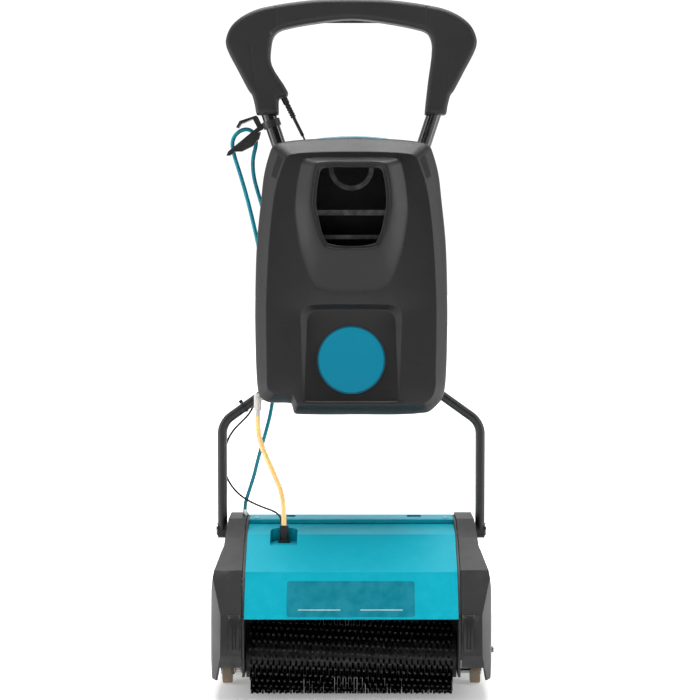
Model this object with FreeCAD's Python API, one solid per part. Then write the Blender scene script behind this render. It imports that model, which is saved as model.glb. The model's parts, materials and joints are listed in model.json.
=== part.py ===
import FreeCAD, Part

import math
import os

# Upright twin-brush carpet and floor cleaner.
# Millimetres, +Z up, front towards -Y, origin on the floor under the middle of the head.

# ---- Driving dimensions: head ----
COVER_HALF_WIDTH = 177.0      # half the width of the front cover between the side frames
COVER_WALL = 3.0
FRAME_GAP = 0.6               # end play between a cover and a side frame
FRAME_THICKNESS = 4.0
POD_GAP = 0.4
POD_SHOULDER = 34.0           # width of a pod beside the yoke
POD_DEPTH = 56.0              # width of a pod at its bulge
POD_WALL = 3.0
POD_BOTTOM = 36.0
HEAD_TOP = 286.0
HEAD_HALF_DEPTH = 182.0
COVER_SPLIT_Y = -1.0          # joint between the front cover and the waste tank
COVER_TOP = 276.0

# ---- Brushes, gears and rollers ----
BRUSH_RADIUS = 66.0
BRUSH_SPACING = 190.0
TUFT_HALF_LENGTH = 170.0
CORE_RADIUS = 38.0
CORE_WALL = 3.0
HUB_OVERHANG = 6.0
BRUSH_SHAFT_RADIUS = 8.0
FIT = 0.05                    # radial clearance of a shaft, pin or tube in its bore
BRUSH_TEETH = 24
IDLER_TEETH = 26
DRUM_TEETH = 22
GEAR_WIDTH = 8.0
GEAR_GAP = 4.4                # from the side frame to the gears
DRUM_RADIUS = 28.0
DRUM_SHAFT_RADIUS = 7.0
DRUM_Y = 12.0
BEARING_WALL = 6.0
BELT_WIDTH = 6.0
BELT_THICKNESS = 3.0
BELT_GAP = 3.0                # from the gears to the belt
MOTOR_Y = -80.0
MOTOR_Z = 188.0
MOTOR_RADIUS = 42.0
MOTOR_LENGTH = 210.0
MOTOR_SHAFT_RADIUS = 6.0
MOTOR_PULLEY_RADIUS = 14.0
BRUSH_PULLEY_RADIUS = 30.0
ROLLER_RADIUS = 21.0
ROLLER_WIDTH = 17.0
ROLLER_Y = -10.0
WHEEL_RADIUS = 30.0
WHEEL_WIDTH = 24.0
WHEEL_Y = 150.0
WHEEL_Z = 36.0
AXLE_RADIUS = 4.0
TIE_BAR_RADIUS = 6.0

# ---- Handle: yoke, mast and grip ----
PIVOT_Y = 30.0
PIVOT_Z = 262.0
PIVOT_RADIUS = 8.0
YOKE_THICKNESS = 16.0
YOKE_DEPTH = 30.0
YOKE_WALL = 2.0
YOKE_CORNER_Z = 449.0
YOKE_BEND_RADIUS = 38.0
YOKE_SLOPE = math.radians(35.6)
BRACKET_HALF_WIDTH = 50.0
YOKE_END_X = 26.0             # each diagonal ends this far from the middle
BRACKET_LAP = 25.47           # from the diagonals' ends down to the bracket's foot
BRACKET_HEIGHT = 94.0
MAST_RADIUS = 12.7
MAST_WALL = 1.6
MAST_Y = 38.0
MAST_SLOPE = 0.33             # sideways travel of a mast tube for each millimetre of height
GRIP_BOTTOM = 984.0
GRIP_TOP = 1183.0
GRIP_COLLAR_X = 143.0
GRIP_DEPTH = 38.0
GRIP_WALL = 3.0

# ---- Solution tank ----
TANK_FRONT = -95.0
TANK_BACK = 12.0
TANK_BEVEL_DEPTH = 25.0
TANK_BOTTOM = 471.0
TANK_TOP = 939.0
TANK_WALL = 4.0
HOOD_HEIGHT = 22.0
PANEL_HEAD_Z = 660.0
PANEL_FOOT_Z = 494.0
PANEL_HEAD_DEPTH = 14.0
PANEL_FOOT_DEPTH = 2.0
BADGE_RADIUS = 57.5
BADGE_Z = 565.0

# ---- Cords ----
HOSE_DIAMETER = 9.0
LEAD_DIAMETER = 6.5
CONTROL_DIAMETER = 3.5
MAINS_DIAMETER = 7.3
COIL_HALF_WIDTH = 158.0
COIL_HALF_HEIGHT = 207.0
COIL_Z = 745.0
COIL_RADIAL = 26.0
COIL_FRONT = 74.0
COIL_BACK = 100.0
COIL_SQUARENESS = 3.2
COIL_STEPS = 48

# ---- Stations worked out from the dimensions above ----
FRAME_IN = COVER_HALF_WIDTH + FRAME_GAP
FRAME_OUT = FRAME_IN + FRAME_THICKNESS
POD_IN = FRAME_OUT + POD_GAP
POD_SHOULDER_OUT = POD_IN + POD_SHOULDER
POD_OUT = POD_IN + POD_DEPTH
YOKE_IN = POD_SHOULDER_OUT + 1.0
YOKE_OUT = YOKE_IN + YOKE_THICKNESS
YOKE_X = (YOKE_IN + YOKE_OUT) / 2
HUB_END = TUFT_HALF_LENGTH + HUB_OVERHANG
BRUSH_Z = BRUSH_RADIUS
BRUSH_Y = BRUSH_SPACING / 2
GEAR_MODULE = BRUSH_SPACING / (BRUSH_TEETH + 2 * IDLER_TEETH)
IDLER_Y = GEAR_MODULE * IDLER_TEETH / 2
DRUM_DISTANCE = GEAR_MODULE * (IDLER_TEETH + DRUM_TEETH) / 2
DRUM_Z = BRUSH_Z + math.sqrt(DRUM_DISTANCE ** 2 - (IDLER_Y - DRUM_Y) ** 2)
GEAR_IN = FRAME_OUT + GEAR_GAP
GEAR_OUT = GEAR_IN + GEAR_WIDTH
BELT_IN = GEAR_OUT + BELT_GAP
BELT_OUT = BELT_IN + BELT_WIDTH
ROLLER_IN = BELT_OUT + 3.0
ROLLER_OUT = ROLLER_IN + ROLLER_WIDTH
WHEEL_IN = GEAR_OUT + 4.0
WHEEL_OUT = WHEEL_IN + WHEEL_WIDTH
YOKE_END_Z = YOKE_CORNER_Z + (YOKE_X - YOKE_END_X) * math.tan(YOKE_SLOPE)
BRACKET_BOTTOM = YOKE_END_Z - BRACKET_LAP
BRACKET_TOP = BRACKET_BOTTOM + BRACKET_HEIGHT
GRIP_FRONT = MAST_Y - GRIP_DEPTH / 2
GRIP_BACK = MAST_Y + GRIP_DEPTH / 2

ORIGIN = FreeCAD.Vector(0, 0, 0)
X_AXIS = FreeCAD.Vector(1, 0, 0)
Y_AXIS = FreeCAD.Vector(0, 1, 0)
Z_AXIS = FreeCAD.Vector(0, 0, 1)


# ---- Shape helpers ----
def vector(x, y, z):
    return FreeCAD.Vector(x, y, z)


def block(x0, x1, y0, y1, z0, z1):
    return Part.makeBox(x1 - x0, y1 - y0, z1 - z0, vector(x0, y0, z0))


def rod_x(radius, x0, x1, y, z):
    return Part.makeCylinder(radius, x1 - x0, vector(x0, y, z), X_AXIS)


def rod_y(radius, y0, y1, x, z):
    return Part.makeCylinder(radius, y1 - y0, vector(x, y0, z), Y_AXIS)


def rod_z(radius, z0, z1, x, y):
    return Part.makeCylinder(radius, z1 - z0, vector(x, y, z0), Z_AXIS)


def ring_x(outer, inner, x0, x1, y, z):
    return rod_x(outer, x0, x1, y, z).cut(rod_x(inner, x0 - 1, x1 + 1, y, z))


def closed_face(corners):
    wire = Part.makePolygon(corners + [corners[0]])
    return Part.Face(wire)


def prism_x(outline, x0, x1):
    face = closed_face([vector(x0, y, z) for y, z in outline])
    return face.extrude(vector(x1 - x0, 0, 0))


def prism_y(outline, y0, y1):
    face = closed_face([vector(x, y0, z) for x, z in outline])
    return face.extrude(vector(0, y1 - y0, 0))


def prism_z(outline, z0, z1):
    face = closed_face([vector(x, y, z0) for x, y in outline])
    return face.extrude(vector(0, 0, z1 - z0))


def loft_y(outline_a, y_a, outline_b, y_b):
    wires = []
    for outline, y in ((outline_a, y_a), (outline_b, y_b)):
        corners = [vector(x, y, z) for x, z in outline]
        wires.append(Part.makePolygon(corners + [corners[0]]))
    return Part.makeLoft(wires, True, True)


def whole_outline(half):
    """A symmetric outline from the points of its right half, top to bottom."""
    left = [(-x, z) for x, z in reversed(half) if x > 0]
    return half + left


def offset_line(points, distance):
    """The same open line moved sideways, with mitred corners."""
    moved = []
    for index, point in enumerate(points):
        before = points[max(index - 1, 0)]
        after = points[min(index + 1, len(points) - 1)]
        normals = []
        for a, b in ((before, point), (point, after)):
            length = math.dist(a, b)
            if length > 0:
                normals.append(((b[1] - a[1]) / length, (a[0] - b[0]) / length))
        nx = sum(n[0] for n in normals) / len(normals)
        ny = sum(n[1] for n in normals) / len(normals)
        square = nx * nx + ny * ny
        moved.append((point[0] + distance * nx / square, point[1] + distance * ny / square))
    return moved


def sheet_outline(points, wall):
    return points + list(reversed(offset_line(points, wall)))


def inset_outline(points, distance):
    """A closed outline moved inwards by a distance, with mitred corners."""
    wrapped = [points[-1]] + points + [points[0]]
    return offset_line(wrapped, distance)[1:-1]


def mirrored(shape):
    return shape.mirror(ORIGIN, X_AXIS)


def joined(shapes):
    result = shapes[0]
    for shape in shapes[1:]:
        result = result.fuse(shape)
    return result.removeSplitter()


def minus(shape, cutters):
    for cutter in cutters:
        shape = shape.cut(cutter)
    return shape


def oval_face(x, y, z, half_x, half_y):
    """A flat-oval section lying level, rounded at its front and back."""
    reach = half_y - half_x
    right = Part.LineSegment(vector(x + half_x, y - reach, z), vector(x + half_x, y + reach, z))
    back = Part.Arc(vector(x + half_x, y + reach, z), vector(x, y + half_y, z),
                    vector(x - half_x, y + reach, z))
    left = Part.LineSegment(vector(x - half_x, y + reach, z), vector(x - half_x, y - reach, z))
    front = Part.Arc(vector(x - half_x, y - reach, z), vector(x, y - half_y, z),
                     vector(x + half_x, y - reach, z))
    return Part.Face(Part.Wire([edge.toShape() for edge in (right, back, left, front)]))


def cord_tube(name, points, diameter):
    """Straight runs joined by tangent arcs, each as large as its two runs allow."""
    corners = [vector(*point) for point in points]
    edges = []
    radii = []
    start = corners[0]
    for before, corner, after in zip(corners, corners[1:], corners[2:]):
        back = before - corner
        ahead = after - corner
        reach = 0.45 * min(back.Length, ahead.Length)
        back.normalize()
        ahead.normalize()
        turn = math.pi - back.getAngle(ahead)
        radius = reach / math.tan(turn / 2)
        middle = back + ahead
        middle.normalize()
        centre = corner + middle * (radius / math.cos(turn / 2))
        arc_start = corner + back * reach
        arc_end = corner + ahead * reach
        arc_middle = centre - middle * radius
        edges.append(Part.LineSegment(start, arc_start).toShape())
        edges.append(Part.Arc(arc_start, arc_middle, arc_end).toShape())
        radii.append(radius)
        start = arc_end
    edges.append(Part.LineSegment(start, corners[-1]).toShape())
    path = Part.Wire(edges)
    profile = Part.Wire([Part.Circle(corners[0], corners[1] - corners[0], diameter / 2).toShape()])
    tube = path.makePipeShell([profile], True, True)
    expected = math.pi * diameter ** 2 / 4 * path.Length
    print(name, "length", round(path.Length), "tightest radius", round(min(radii), 1),
          "in diameters", round(min(radii) / diameter, 1),
          "volume over section x length", round(tube.Volume / expected, 4))
    return tube


# ---- Head: outlines ----
FRONT_SLOPE = [(COVER_SPLIT_Y, COVER_TOP), (-62, 266), (-139, 214), (-184, 143)]
POD_SIDE = [(-160, POD_BOTTOM), (-180, 80), (-HEAD_HALF_DEPTH, 148), (-141, 217), (-70, 262),
            (-10, HEAD_TOP), (80, HEAD_TOP), (150, 217), (HEAD_HALF_DEPTH, 148), (180, 80),
            (160, POD_BOTTOM)]
LID_BACK = 73.0
LID_BOTTOM = 277.0
LID_TOP = 284.0
RECESS_LEFT = -138.0
RECESS_RIGHT = -92.0
RECESS_FRONT = -90.0
RECESS_BACK = -24.0
RECESS_FLOOR = 250.0
RECESS_ROUND = 17.0
BOOT_X = -115.0
BOOT_Y = -45.0
BOOT_TOP = 279.0
LEAD_X = -(POD_IN + 4.0)
LEAD_Y = 33.0
LEAD_GLAND_RADIUS = 3.9


def side_frame(side):
    """Aluminium side plate on the positive side, with tabs for the roller and wheel axles."""
    outline = offset_line(POD_SIDE, 4.0)
    outline = [(y, max(z, POD_BOTTOM + 4)) for y, z in outline]
    plate = prism_x(outline, FRAME_IN, FRAME_OUT)
    roller_tab = block(FRAME_IN, FRAME_OUT, ROLLER_Y - 14, ROLLER_Y + 14, 12, 60)
    wheel_tab = block(FRAME_IN, FRAME_OUT, WHEEL_Y - 13, WHEEL_Y + 13, WHEEL_Z - 12, 70)
    plate = joined([plate, roller_tab, wheel_tab])
    holes = []
    for y in (-BRUSH_Y, BRUSH_Y):
        holes.append((BRUSH_SHAFT_RADIUS + BEARING_WALL + FIT, y, BRUSH_Z))
    holes.append((DRUM_SHAFT_RADIUS + BEARING_WALL + FIT, DRUM_Y, DRUM_Z))
    holes.append((PIVOT_RADIUS + FIT, PIVOT_Y, PIVOT_Z))
    holes.append((AXLE_RADIUS + FIT, ROLLER_Y, ROLLER_RADIUS))
    holes.append((AXLE_RADIUS + FIT, WHEEL_Y, WHEEL_Z))
    if side < 0:
        holes.append((AXLE_RADIUS + FIT, -IDLER_Y, BRUSH_Z))
        holes.append((AXLE_RADIUS + FIT, IDLER_Y, BRUSH_Z))
        holes.append((MOTOR_SHAFT_RADIUS + 2.0, MOTOR_Y, MOTOR_Z))
    cutters = [rod_x(radius, FRAME_IN - 1, FRAME_OUT + 1, y, z) for radius, y, z in holes]
    plate = minus(plate, cutters)
    return plate if side > 0 else mirrored(plate)


def tie_bars():
    places = ((-158, 150), (-12, 250), (170, 122), (0, 72))
    return [rod_x(TIE_BAR_RADIUS, -FRAME_IN, FRAME_IN, y, z) for y, z in places]


def motor_cradle():
    plate_z = MOTOR_Z - MOTOR_RADIUS - 7
    plate = block(-FRAME_IN, FRAME_IN, MOTOR_Y - 34, MOTOR_Y + 34, plate_z, plate_z + 3)
    saddles = []
    for x in (-MOTOR_LENGTH / 2 - 18, 18):
        saddles.append(block(x, x + 16, MOTOR_Y - 30, MOTOR_Y + 30, plate_z + 3, MOTOR_Z - 26))
    cradle = joined([plate] + saddles)
    return cradle.cut(rod_x(MOTOR_RADIUS, -FRAME_IN, FRAME_IN, MOTOR_Y, MOTOR_Z))


MOTOR_LEFT = -145.0
MOTOR_RIGHT = MOTOR_LEFT + MOTOR_LENGTH


def motor_body():
    can = rod_x(MOTOR_RADIUS, MOTOR_LEFT, MOTOR_RIGHT, MOTOR_Y, MOTOR_Z)
    room = rod_x(MOTOR_RADIUS - 4, MOTOR_LEFT + 6, MOTOR_RIGHT - 6, MOTOR_Y, MOTOR_Z)
    bore = rod_x(MOTOR_SHAFT_RADIUS + FIT, MOTOR_LEFT - 1, MOTOR_LEFT + 7, MOTOR_Y, MOTOR_Z)
    return minus(can, [room, bore])


def motor_rotor():
    shaft = rod_x(MOTOR_SHAFT_RADIUS, -BELT_OUT - 2, MOTOR_RIGHT - 12, MOTOR_Y, MOTOR_Z)
    armature = rod_x(MOTOR_RADIUS - 12, MOTOR_LEFT + 24, MOTOR_RIGHT - 24, MOTOR_Y, MOTOR_Z)
    pulley = rod_x(MOTOR_PULLEY_RADIUS, -BELT_OUT, -BELT_IN, MOTOR_Y, MOTOR_Z)
    return joined([shaft, armature, pulley])


def belt_band(extra):
    """The solid wrapped round both belt pulleys, larger than them by extra."""
    small = MOTOR_PULLEY_RADIUS + extra
    large = BRUSH_PULLEY_RADIUS + extra
    distance = math.dist((MOTOR_Y, MOTOR_Z), (-BRUSH_Y, BRUSH_Z))
    heading = math.atan2(MOTOR_Z - BRUSH_Z, MOTOR_Y + BRUSH_Y)
    lean = math.asin((large - small) / distance)
    corners = []
    for angle in (heading + math.pi / 2 - lean, heading - math.pi / 2 + lean):
        direction = (math.cos(angle), math.sin(angle))
        ends = [(-BRUSH_Y, BRUSH_Z, large), (MOTOR_Y, MOTOR_Z, small)]
        corners.append([(y + r * direction[0], z + r * direction[1]) for y, z, r in ends])
    outline = corners[0] + list(reversed(corners[1]))
    web = prism_x(outline, -BELT_OUT + 0.5, -BELT_IN - 0.5)
    ends = [rod_x(large, -BELT_OUT + 0.5, -BELT_IN - 0.5, -BRUSH_Y, BRUSH_Z),
            rod_x(small, -BELT_OUT + 0.5, -BELT_IN - 0.5, MOTOR_Y, MOTOR_Z)]
    return joined([web] + ends)


def drive_belt():
    return belt_band(BELT_THICKNESS + FIT).cut(belt_band(FIT))


def gear(teeth, phase, y, z, x0, x1, bore):
    """Straight-cut gear about X with generous backlash; a tooth is centred on phase."""
    pitch_radius = GEAR_MODULE * teeth / 2
    root = pitch_radius - 1.3 * GEAR_MODULE
    tip = pitch_radius + 0.85 * GEAR_MODULE
    step = 2 * math.pi / teeth
    half_root = 0.30 * step
    half_tip = 0.11 * step
    outline = []
    for index in range(teeth):
        middle = phase + index * step
        for radius, angle in ((root, middle - half_root), (tip, middle - half_tip),
                              (tip, middle + half_tip), (root, middle + half_root)):
            outline.append((y + radius * math.cos(angle), z + radius * math.sin(angle)))
    return prism_x(outline, x0, x1).cut(rod_x(bore, x0 - 1, x1 + 1, y, z))


def mating_phase(phase, teeth, mate_teeth, heading):
    """Phase of the mate whose gap meets the tooth nearest the line of centres."""
    step = 2 * math.pi / teeth
    lead = (phase - heading) - step * round((phase - heading) / step)
    return heading + math.pi - lead * teeth / mate_teeth + math.pi / mate_teeth


def brush_core(y, end_left):
    tube = ring_x(CORE_RADIUS, CORE_RADIUS - CORE_WALL, -TUFT_HALF_LENGTH, TUFT_HALF_LENGTH, y, BRUSH_Z)
    left_hub = rod_x(CORE_RADIUS, -HUB_END, -TUFT_HALF_LENGTH, y, BRUSH_Z)
    shaft = rod_x(BRUSH_SHAFT_RADIUS, -end_left, FRAME_OUT + 2, y, BRUSH_Z)
    return joined([tube, left_hub, mirrored(left_hub), shaft])


def brush_bristles(y):
    return ring_x(BRUSH_RADIUS, CORE_RADIUS + FIT, -TUFT_HALF_LENGTH, TUFT_HALF_LENGTH, y, BRUSH_Z)


FRONT_GEAR_PHASE = 0.0
FRONT_IDLER_PHASE = mating_phase(FRONT_GEAR_PHASE, BRUSH_TEETH, IDLER_TEETH, 0.0)
REAR_IDLER_PHASE = mating_phase(FRONT_IDLER_PHASE, IDLER_TEETH, IDLER_TEETH, 0.0)
REAR_GEAR_PHASE = mating_phase(REAR_IDLER_PHASE, IDLER_TEETH, BRUSH_TEETH, 0.0)
DRUM_HEADING = math.atan2(DRUM_Z - BRUSH_Z, DRUM_Y - IDLER_Y)
DRUM_PHASE = mating_phase(REAR_IDLER_PHASE, IDLER_TEETH, DRUM_TEETH, DRUM_HEADING)


def front_brush_gear():
    bore = BRUSH_SHAFT_RADIUS + FIT
    toothed = gear(BRUSH_TEETH, FRONT_GEAR_PHASE, -BRUSH_Y, BRUSH_Z, -GEAR_OUT, -GEAR_IN, bore)
    neck = ring_x(BRUSH_SHAFT_RADIUS + 6, bore, -BELT_IN, -GEAR_OUT, -BRUSH_Y, BRUSH_Z)
    pulley = ring_x(BRUSH_PULLEY_RADIUS, bore, -BELT_OUT, -BELT_IN, -BRUSH_Y, BRUSH_Z)
    return joined([toothed, neck, pulley])


def rear_brush_gear():
    bore = BRUSH_SHAFT_RADIUS + FIT
    return gear(BRUSH_TEETH, REAR_GEAR_PHASE, BRUSH_Y, BRUSH_Z, -GEAR_OUT, -GEAR_IN, bore)


def idler_gear(y, phase):
    return gear(IDLER_TEETH, phase, y, BRUSH_Z, -GEAR_OUT, -GEAR_IN, AXLE_RADIUS + FIT)


def recovery_drum():
    barrel = rod_x(DRUM_RADIUS, -TUFT_HALF_LENGTH, TUFT_HALF_LENGTH, DRUM_Y, DRUM_Z)
    room = rod_x(DRUM_RADIUS - CORE_WALL, -TUFT_HALF_LENGTH + 5, TUFT_HALF_LENGTH - 5, DRUM_Y, DRUM_Z)
    shaft = rod_x(DRUM_SHAFT_RADIUS, -GEAR_OUT, FRAME_OUT + 2, DRUM_Y, DRUM_Z)
    toothed = gear(DRUM_TEETH, DRUM_PHASE, DRUM_Y, DRUM_Z, -GEAR_OUT, -GEAR_IN, DRUM_SHAFT_RADIUS / 2)
    return joined([barrel.cut(room), shaft, toothed])


def bearings():
    rings = []
    for y, z, radius in ((-BRUSH_Y, BRUSH_Z, BRUSH_SHAFT_RADIUS), (BRUSH_Y, BRUSH_Z, BRUSH_SHAFT_RADIUS),
                         (DRUM_Y, DRUM_Z, DRUM_SHAFT_RADIUS)):
        ring = ring_x(radius + BEARING_WALL, radius + FIT, FRAME_IN, FRAME_OUT + 1.5, y, z)
        rings += [ring, mirrored(ring)]
    return rings


def axle_pins():
    pins = []
    for y, z, end in ((ROLLER_Y, ROLLER_RADIUS, ROLLER_OUT + 3), (WHEEL_Y, WHEEL_Z, WHEEL_OUT + 2)):
        pin = joined([rod_x(AXLE_RADIUS, FRAME_IN, end, y, z),
                      rod_x(AXLE_RADIUS + 2, end - 2, end, y, z)])
        pins += [pin, mirrored(pin)]
    for y in (-IDLER_Y, IDLER_Y):
        pins.append(joined([rod_x(AXLE_RADIUS, -GEAR_OUT - 2.5, -FRAME_IN, y, BRUSH_Z),
                            rod_x(AXLE_RADIUS + 3, -GEAR_OUT - 2.5, -GEAR_OUT - 0.5, y, BRUSH_Z)]))
    return pins


def pivot_pins():
    shank = rod_x(PIVOT_RADIUS, FRAME_IN, YOKE_OUT + 1, PIVOT_Y, PIVOT_Z)
    head = rod_x(PIVOT_RADIUS + 3, YOKE_OUT + 0.4, YOKE_OUT + 3, PIVOT_Y, PIVOT_Z)
    pin = joined([shank, head])
    return [pin, mirrored(pin)]


def roller():
    body = ring_x(ROLLER_RADIUS, AXLE_RADIUS + FIT, ROLLER_IN, ROLLER_OUT, ROLLER_Y, ROLLER_RADIUS)
    edges = [edge for edge in body.Edges if edge.Length > 2 * math.pi * (ROLLER_RADIUS - 1)]
    return body.makeFillet(1.5, edges)


def wheel():
    body = ring_x(WHEEL_RADIUS, AXLE_RADIUS + FIT, WHEEL_IN, WHEEL_OUT, WHEEL_Y, WHEEL_Z)
    edges = [edge for edge in body.Edges if edge.Length > 2 * math.pi * (WHEEL_RADIUS - 1)]
    body = body.makeFillet(3.0, edges)
    dish = ring_x(WHEEL_RADIUS - 8, AXLE_RADIUS + 7, WHEEL_OUT - 5, WHEEL_OUT + 1, WHEEL_Y, WHEEL_Z)
    return body.cut(dish)


def spray_bar():
    y = -28.0
    z = 140.0
    tube = ring_x(5.0, 3.5, -FRAME_IN, FRAME_IN, y, z)
    aim = vector(-0.8, 0, -0.6)
    nozzles = []
    for index in range(7):
        x = -150 + index * 50
        foot = vector(x, y - 3.4, z - 2.55)
        nozzles.append(Part.makeCylinder(2.5, 6, foot, vector(0, aim.x, aim.z)))
    return joined([tube] + nozzles)


def scoop(grow, z0, z1):
    """The hose recess, a pocket with a rounded back, grown by a wall for its outside."""
    pocket = block(RECESS_LEFT - grow, RECESS_RIGHT + grow, RECESS_FRONT, RECESS_BACK + grow, z0, z1)
    edges = []
    for edge in pocket.Edges:
        upright = abs(edge.tangentAt(edge.FirstParameter).z) > 0.9
        if upright and edge.BoundBox.YMin > RECESS_BACK - 1:
            edges.append(edge)
    return pocket.makeFillet(RECESS_ROUND + grow, edges)


def front_cover():
    shell = prism_x(sheet_outline(FRONT_SLOPE, -COVER_WALL), -COVER_HALF_WIDTH, COVER_HALF_WIDTH)
    wall = COVER_WALL - 0.5
    outer = scoop(wall, RECESS_FLOOR - wall, COVER_TOP)
    room = scoop(0.0, RECESS_FLOOR, COVER_TOP + 9)
    under_cover = prism_x(FRONT_SLOPE + [(-184, 100), (COVER_SPLIT_Y, 100)],
                          RECESS_LEFT - 9, RECESS_RIGHT + 9)
    tray = outer.common(under_cover)
    return joined([shell, tray]).cut(room)


def hose_boot():
    base = block(BOOT_X - 10, BOOT_X + 10, BOOT_Y - 10, BOOT_Y + 10, RECESS_FLOOR, RECESS_FLOOR + 5)
    body = block(BOOT_X - 7.5, BOOT_X + 7.5, BOOT_Y - 7, BOOT_Y + 9, RECESS_FLOOR + 5, BOOT_TOP)
    edges = [edge for edge in body.Edges if abs(edge.tangentAt(edge.FirstParameter).z) > 0.9]
    return joined([base, body.makeFillet(4.0, edges)])


def lead_gland():
    body = rod_z(LEAD_GLAND_RADIUS, HEAD_TOP, HEAD_TOP + 11, LEAD_X, LEAD_Y)
    nut = rod_z(LEAD_GLAND_RADIUS - 0.6, HEAD_TOP - POD_WALL, HEAD_TOP, LEAD_X, LEAD_Y)
    return joined([body, nut])


# ---- Waste tank ----
WASTE_OUTLINE = [(3, LID_BOTTOM), (LID_BACK - 3, LID_BOTTOM), (139, 214), (176, 156), (3, 156)]
WASTE_WALL = 3.0
INLET_HEIGHT = 16.0


def waste_tank():
    shell = prism_x(WASTE_OUTLINE, -COVER_HALF_WIDTH, COVER_HALF_WIDTH)
    inner = [(6, LID_BOTTOM + 9), (LID_BACK - 7, LID_BOTTOM + 9), (LID_BACK - 7, LID_BOTTOM - 5),
             (136, 212), (170, 159), (6, 159)]
    room = prism_x(inner, -COVER_HALF_WIDTH + WASTE_WALL, COVER_HALF_WIDTH - WASTE_WALL)
    inlet = block(-TUFT_HALF_LENGTH + 10, TUFT_HALF_LENGTH - 10, 0, 9, 160, 160 + INLET_HEIGHT)
    skirt = prism_x([(176, 156), (184, 143), (181, 143), (172.5, 156)],
                    -COVER_HALF_WIDTH, COVER_HALF_WIDTH)
    return minus(joined([shell, skirt]), [room, inlet])


SCREW_X = COVER_HALF_WIDTH - 13.0
SCREW_Y = 16.0


def waste_tank_lid():
    crown = prism_x([(0, LID_BOTTOM), (0, LID_TOP - 1), (3, LID_TOP), (LID_BACK - 6, LID_TOP),
                     (LID_BACK, LID_TOP - 5), (LID_BACK, LID_BOTTOM)],
                    -COVER_HALF_WIDTH, COVER_HALF_WIDTH)
    grips = [block(x - 12, x + 12, 30, 54, LID_TOP - 3, LID_TOP + 1) for x in (-110, 110)]
    holes = [rod_z(2.0 + FIT, LID_BOTTOM, LID_TOP + 1, x, SCREW_Y) for x in (-SCREW_X, SCREW_X)]
    return minus(crown, grips + holes)


# ---- Pods ----
def pod_block(inset):
    """The pod's outer form on the positive side, shrunk by inset everywhere but its inner face."""
    low = POD_BOTTOM - (20 if inset else 0)
    side = [(y, z) for y, z in offset_line(POD_SIDE, inset)]
    side = [(side[0][0], low)] + side[1:-1] + [(side[-1][0], low)]
    x0 = POD_IN - (1 if inset else 0)
    face = [(x0, HEAD_TOP + 4), (POD_SHOULDER_OUT - 4 - inset, HEAD_TOP + 4),
            (POD_SHOULDER_OUT - inset, 247), (POD_SHOULDER_OUT + 3 - inset, 243),
            (POD_OUT - 9 - inset, 217), (POD_OUT - 2 - inset, 178), (POD_OUT - inset, 120),
            (POD_OUT - inset, 58), (POD_OUT - 4 - inset, low), (x0, low)]
    edge = HEAD_HALF_DEPTH + 2
    plan = [(x0, -edge), (POD_IN + 33 - inset, -edge), (POD_OUT - 6 - inset, -145),
            (POD_OUT - inset, -90), (POD_OUT - inset, 90), (POD_OUT - 6 - inset, 145),
            (POD_IN + 33 - inset, edge), (x0, edge)]
    body = prism_x(side, x0, POD_OUT + 5)
    body = body.common(prism_y(face, -edge, edge))
    return body.common(prism_z(plan, low - 5, HEAD_TOP + 9))


LATCH_IN = POD_IN + 3.0
LATCH_WIDTH = 16.0
LATCH_OUT = LATCH_IN + LATCH_WIDTH
LATCH_PIN_Y = -187.5
LATCH_PIN_Z = 145.0
LATCH_PIN_RADIUS = 2.0
LUG_WIDTH = 2.2
KNOB_Y = -10.0
KNOB_Z = 58.0
KNOB_RADIUS = 5.2
KNOB_REACH = 9.0


def pod_cover(side):
    cover = pod_block(0.0).cut(pod_block(POD_WALL))
    lugs = []
    for x in (LATCH_IN - 0.3 - LUG_WIDTH, LATCH_OUT + 0.3):
        lugs.append(block(x, x + LUG_WIDTH, LATCH_PIN_Y, -HEAD_HALF_DEPTH + 2, LATCH_PIN_Z - 4,
                          LATCH_PIN_Z + 4))
        lugs.append(rod_x(4.0, x, x + LUG_WIDTH, LATCH_PIN_Y, LATCH_PIN_Z))
    cover = joined([cover] + lugs)
    cutters = [rod_x(PIVOT_RADIUS + FIT, POD_IN - 1, POD_OUT, PIVOT_Y, PIVOT_Z),
               rod_x(WHEEL_RADIUS + 3, POD_IN - 1, WHEEL_OUT + 4, WHEEL_Y, WHEEL_Z),
               rod_x(LATCH_PIN_RADIUS + FIT, POD_IN - 1, LATCH_OUT + 5, LATCH_PIN_Y, LATCH_PIN_Z)]
    if side > 0:
        cutters.append(rod_x(KNOB_RADIUS / 2 + FIT, POD_OUT - 9, POD_OUT + 1, KNOB_Y, KNOB_Z))
    cover = minus(cover, cutters)
    if side < 0:
        cover = mirrored(cover)
        hole = rod_z(LEAD_GLAND_RADIUS - 0.6 + FIT, HEAD_TOP - 9, HEAD_TOP + 1, LEAD_X, LEAD_Y)
        cover = cover.cut(hole)
    return cover


def brush_latch():
    lower_y = -181.6
    outline = [(-190.5, LATCH_PIN_Z), (-188.5, LATCH_PIN_Z + 3.5), (-186, LATCH_PIN_Z + 4),
               (-185, LATCH_PIN_Z - 5), (lower_y - 2, LATCH_PIN_Z - 56), (-190.5, LATCH_PIN_Z - 56),
               (-193, LATCH_PIN_Z - 50), (-193, LATCH_PIN_Z - 20)]
    body = prism_x(outline, LATCH_IN, LATCH_OUT)
    slots = []
    for x in (LATCH_IN + 4.5, LATCH_IN + 9.5):
        slots.append(block(x, x + 2, -194, -190, LATCH_PIN_Z - 50, LATCH_PIN_Z - 10))
    bore = rod_x(LATCH_PIN_RADIUS + FIT, LATCH_IN - 1, LATCH_OUT + 1, LATCH_PIN_Y, LATCH_PIN_Z)
    return minus(body, slots + [bore])


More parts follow.
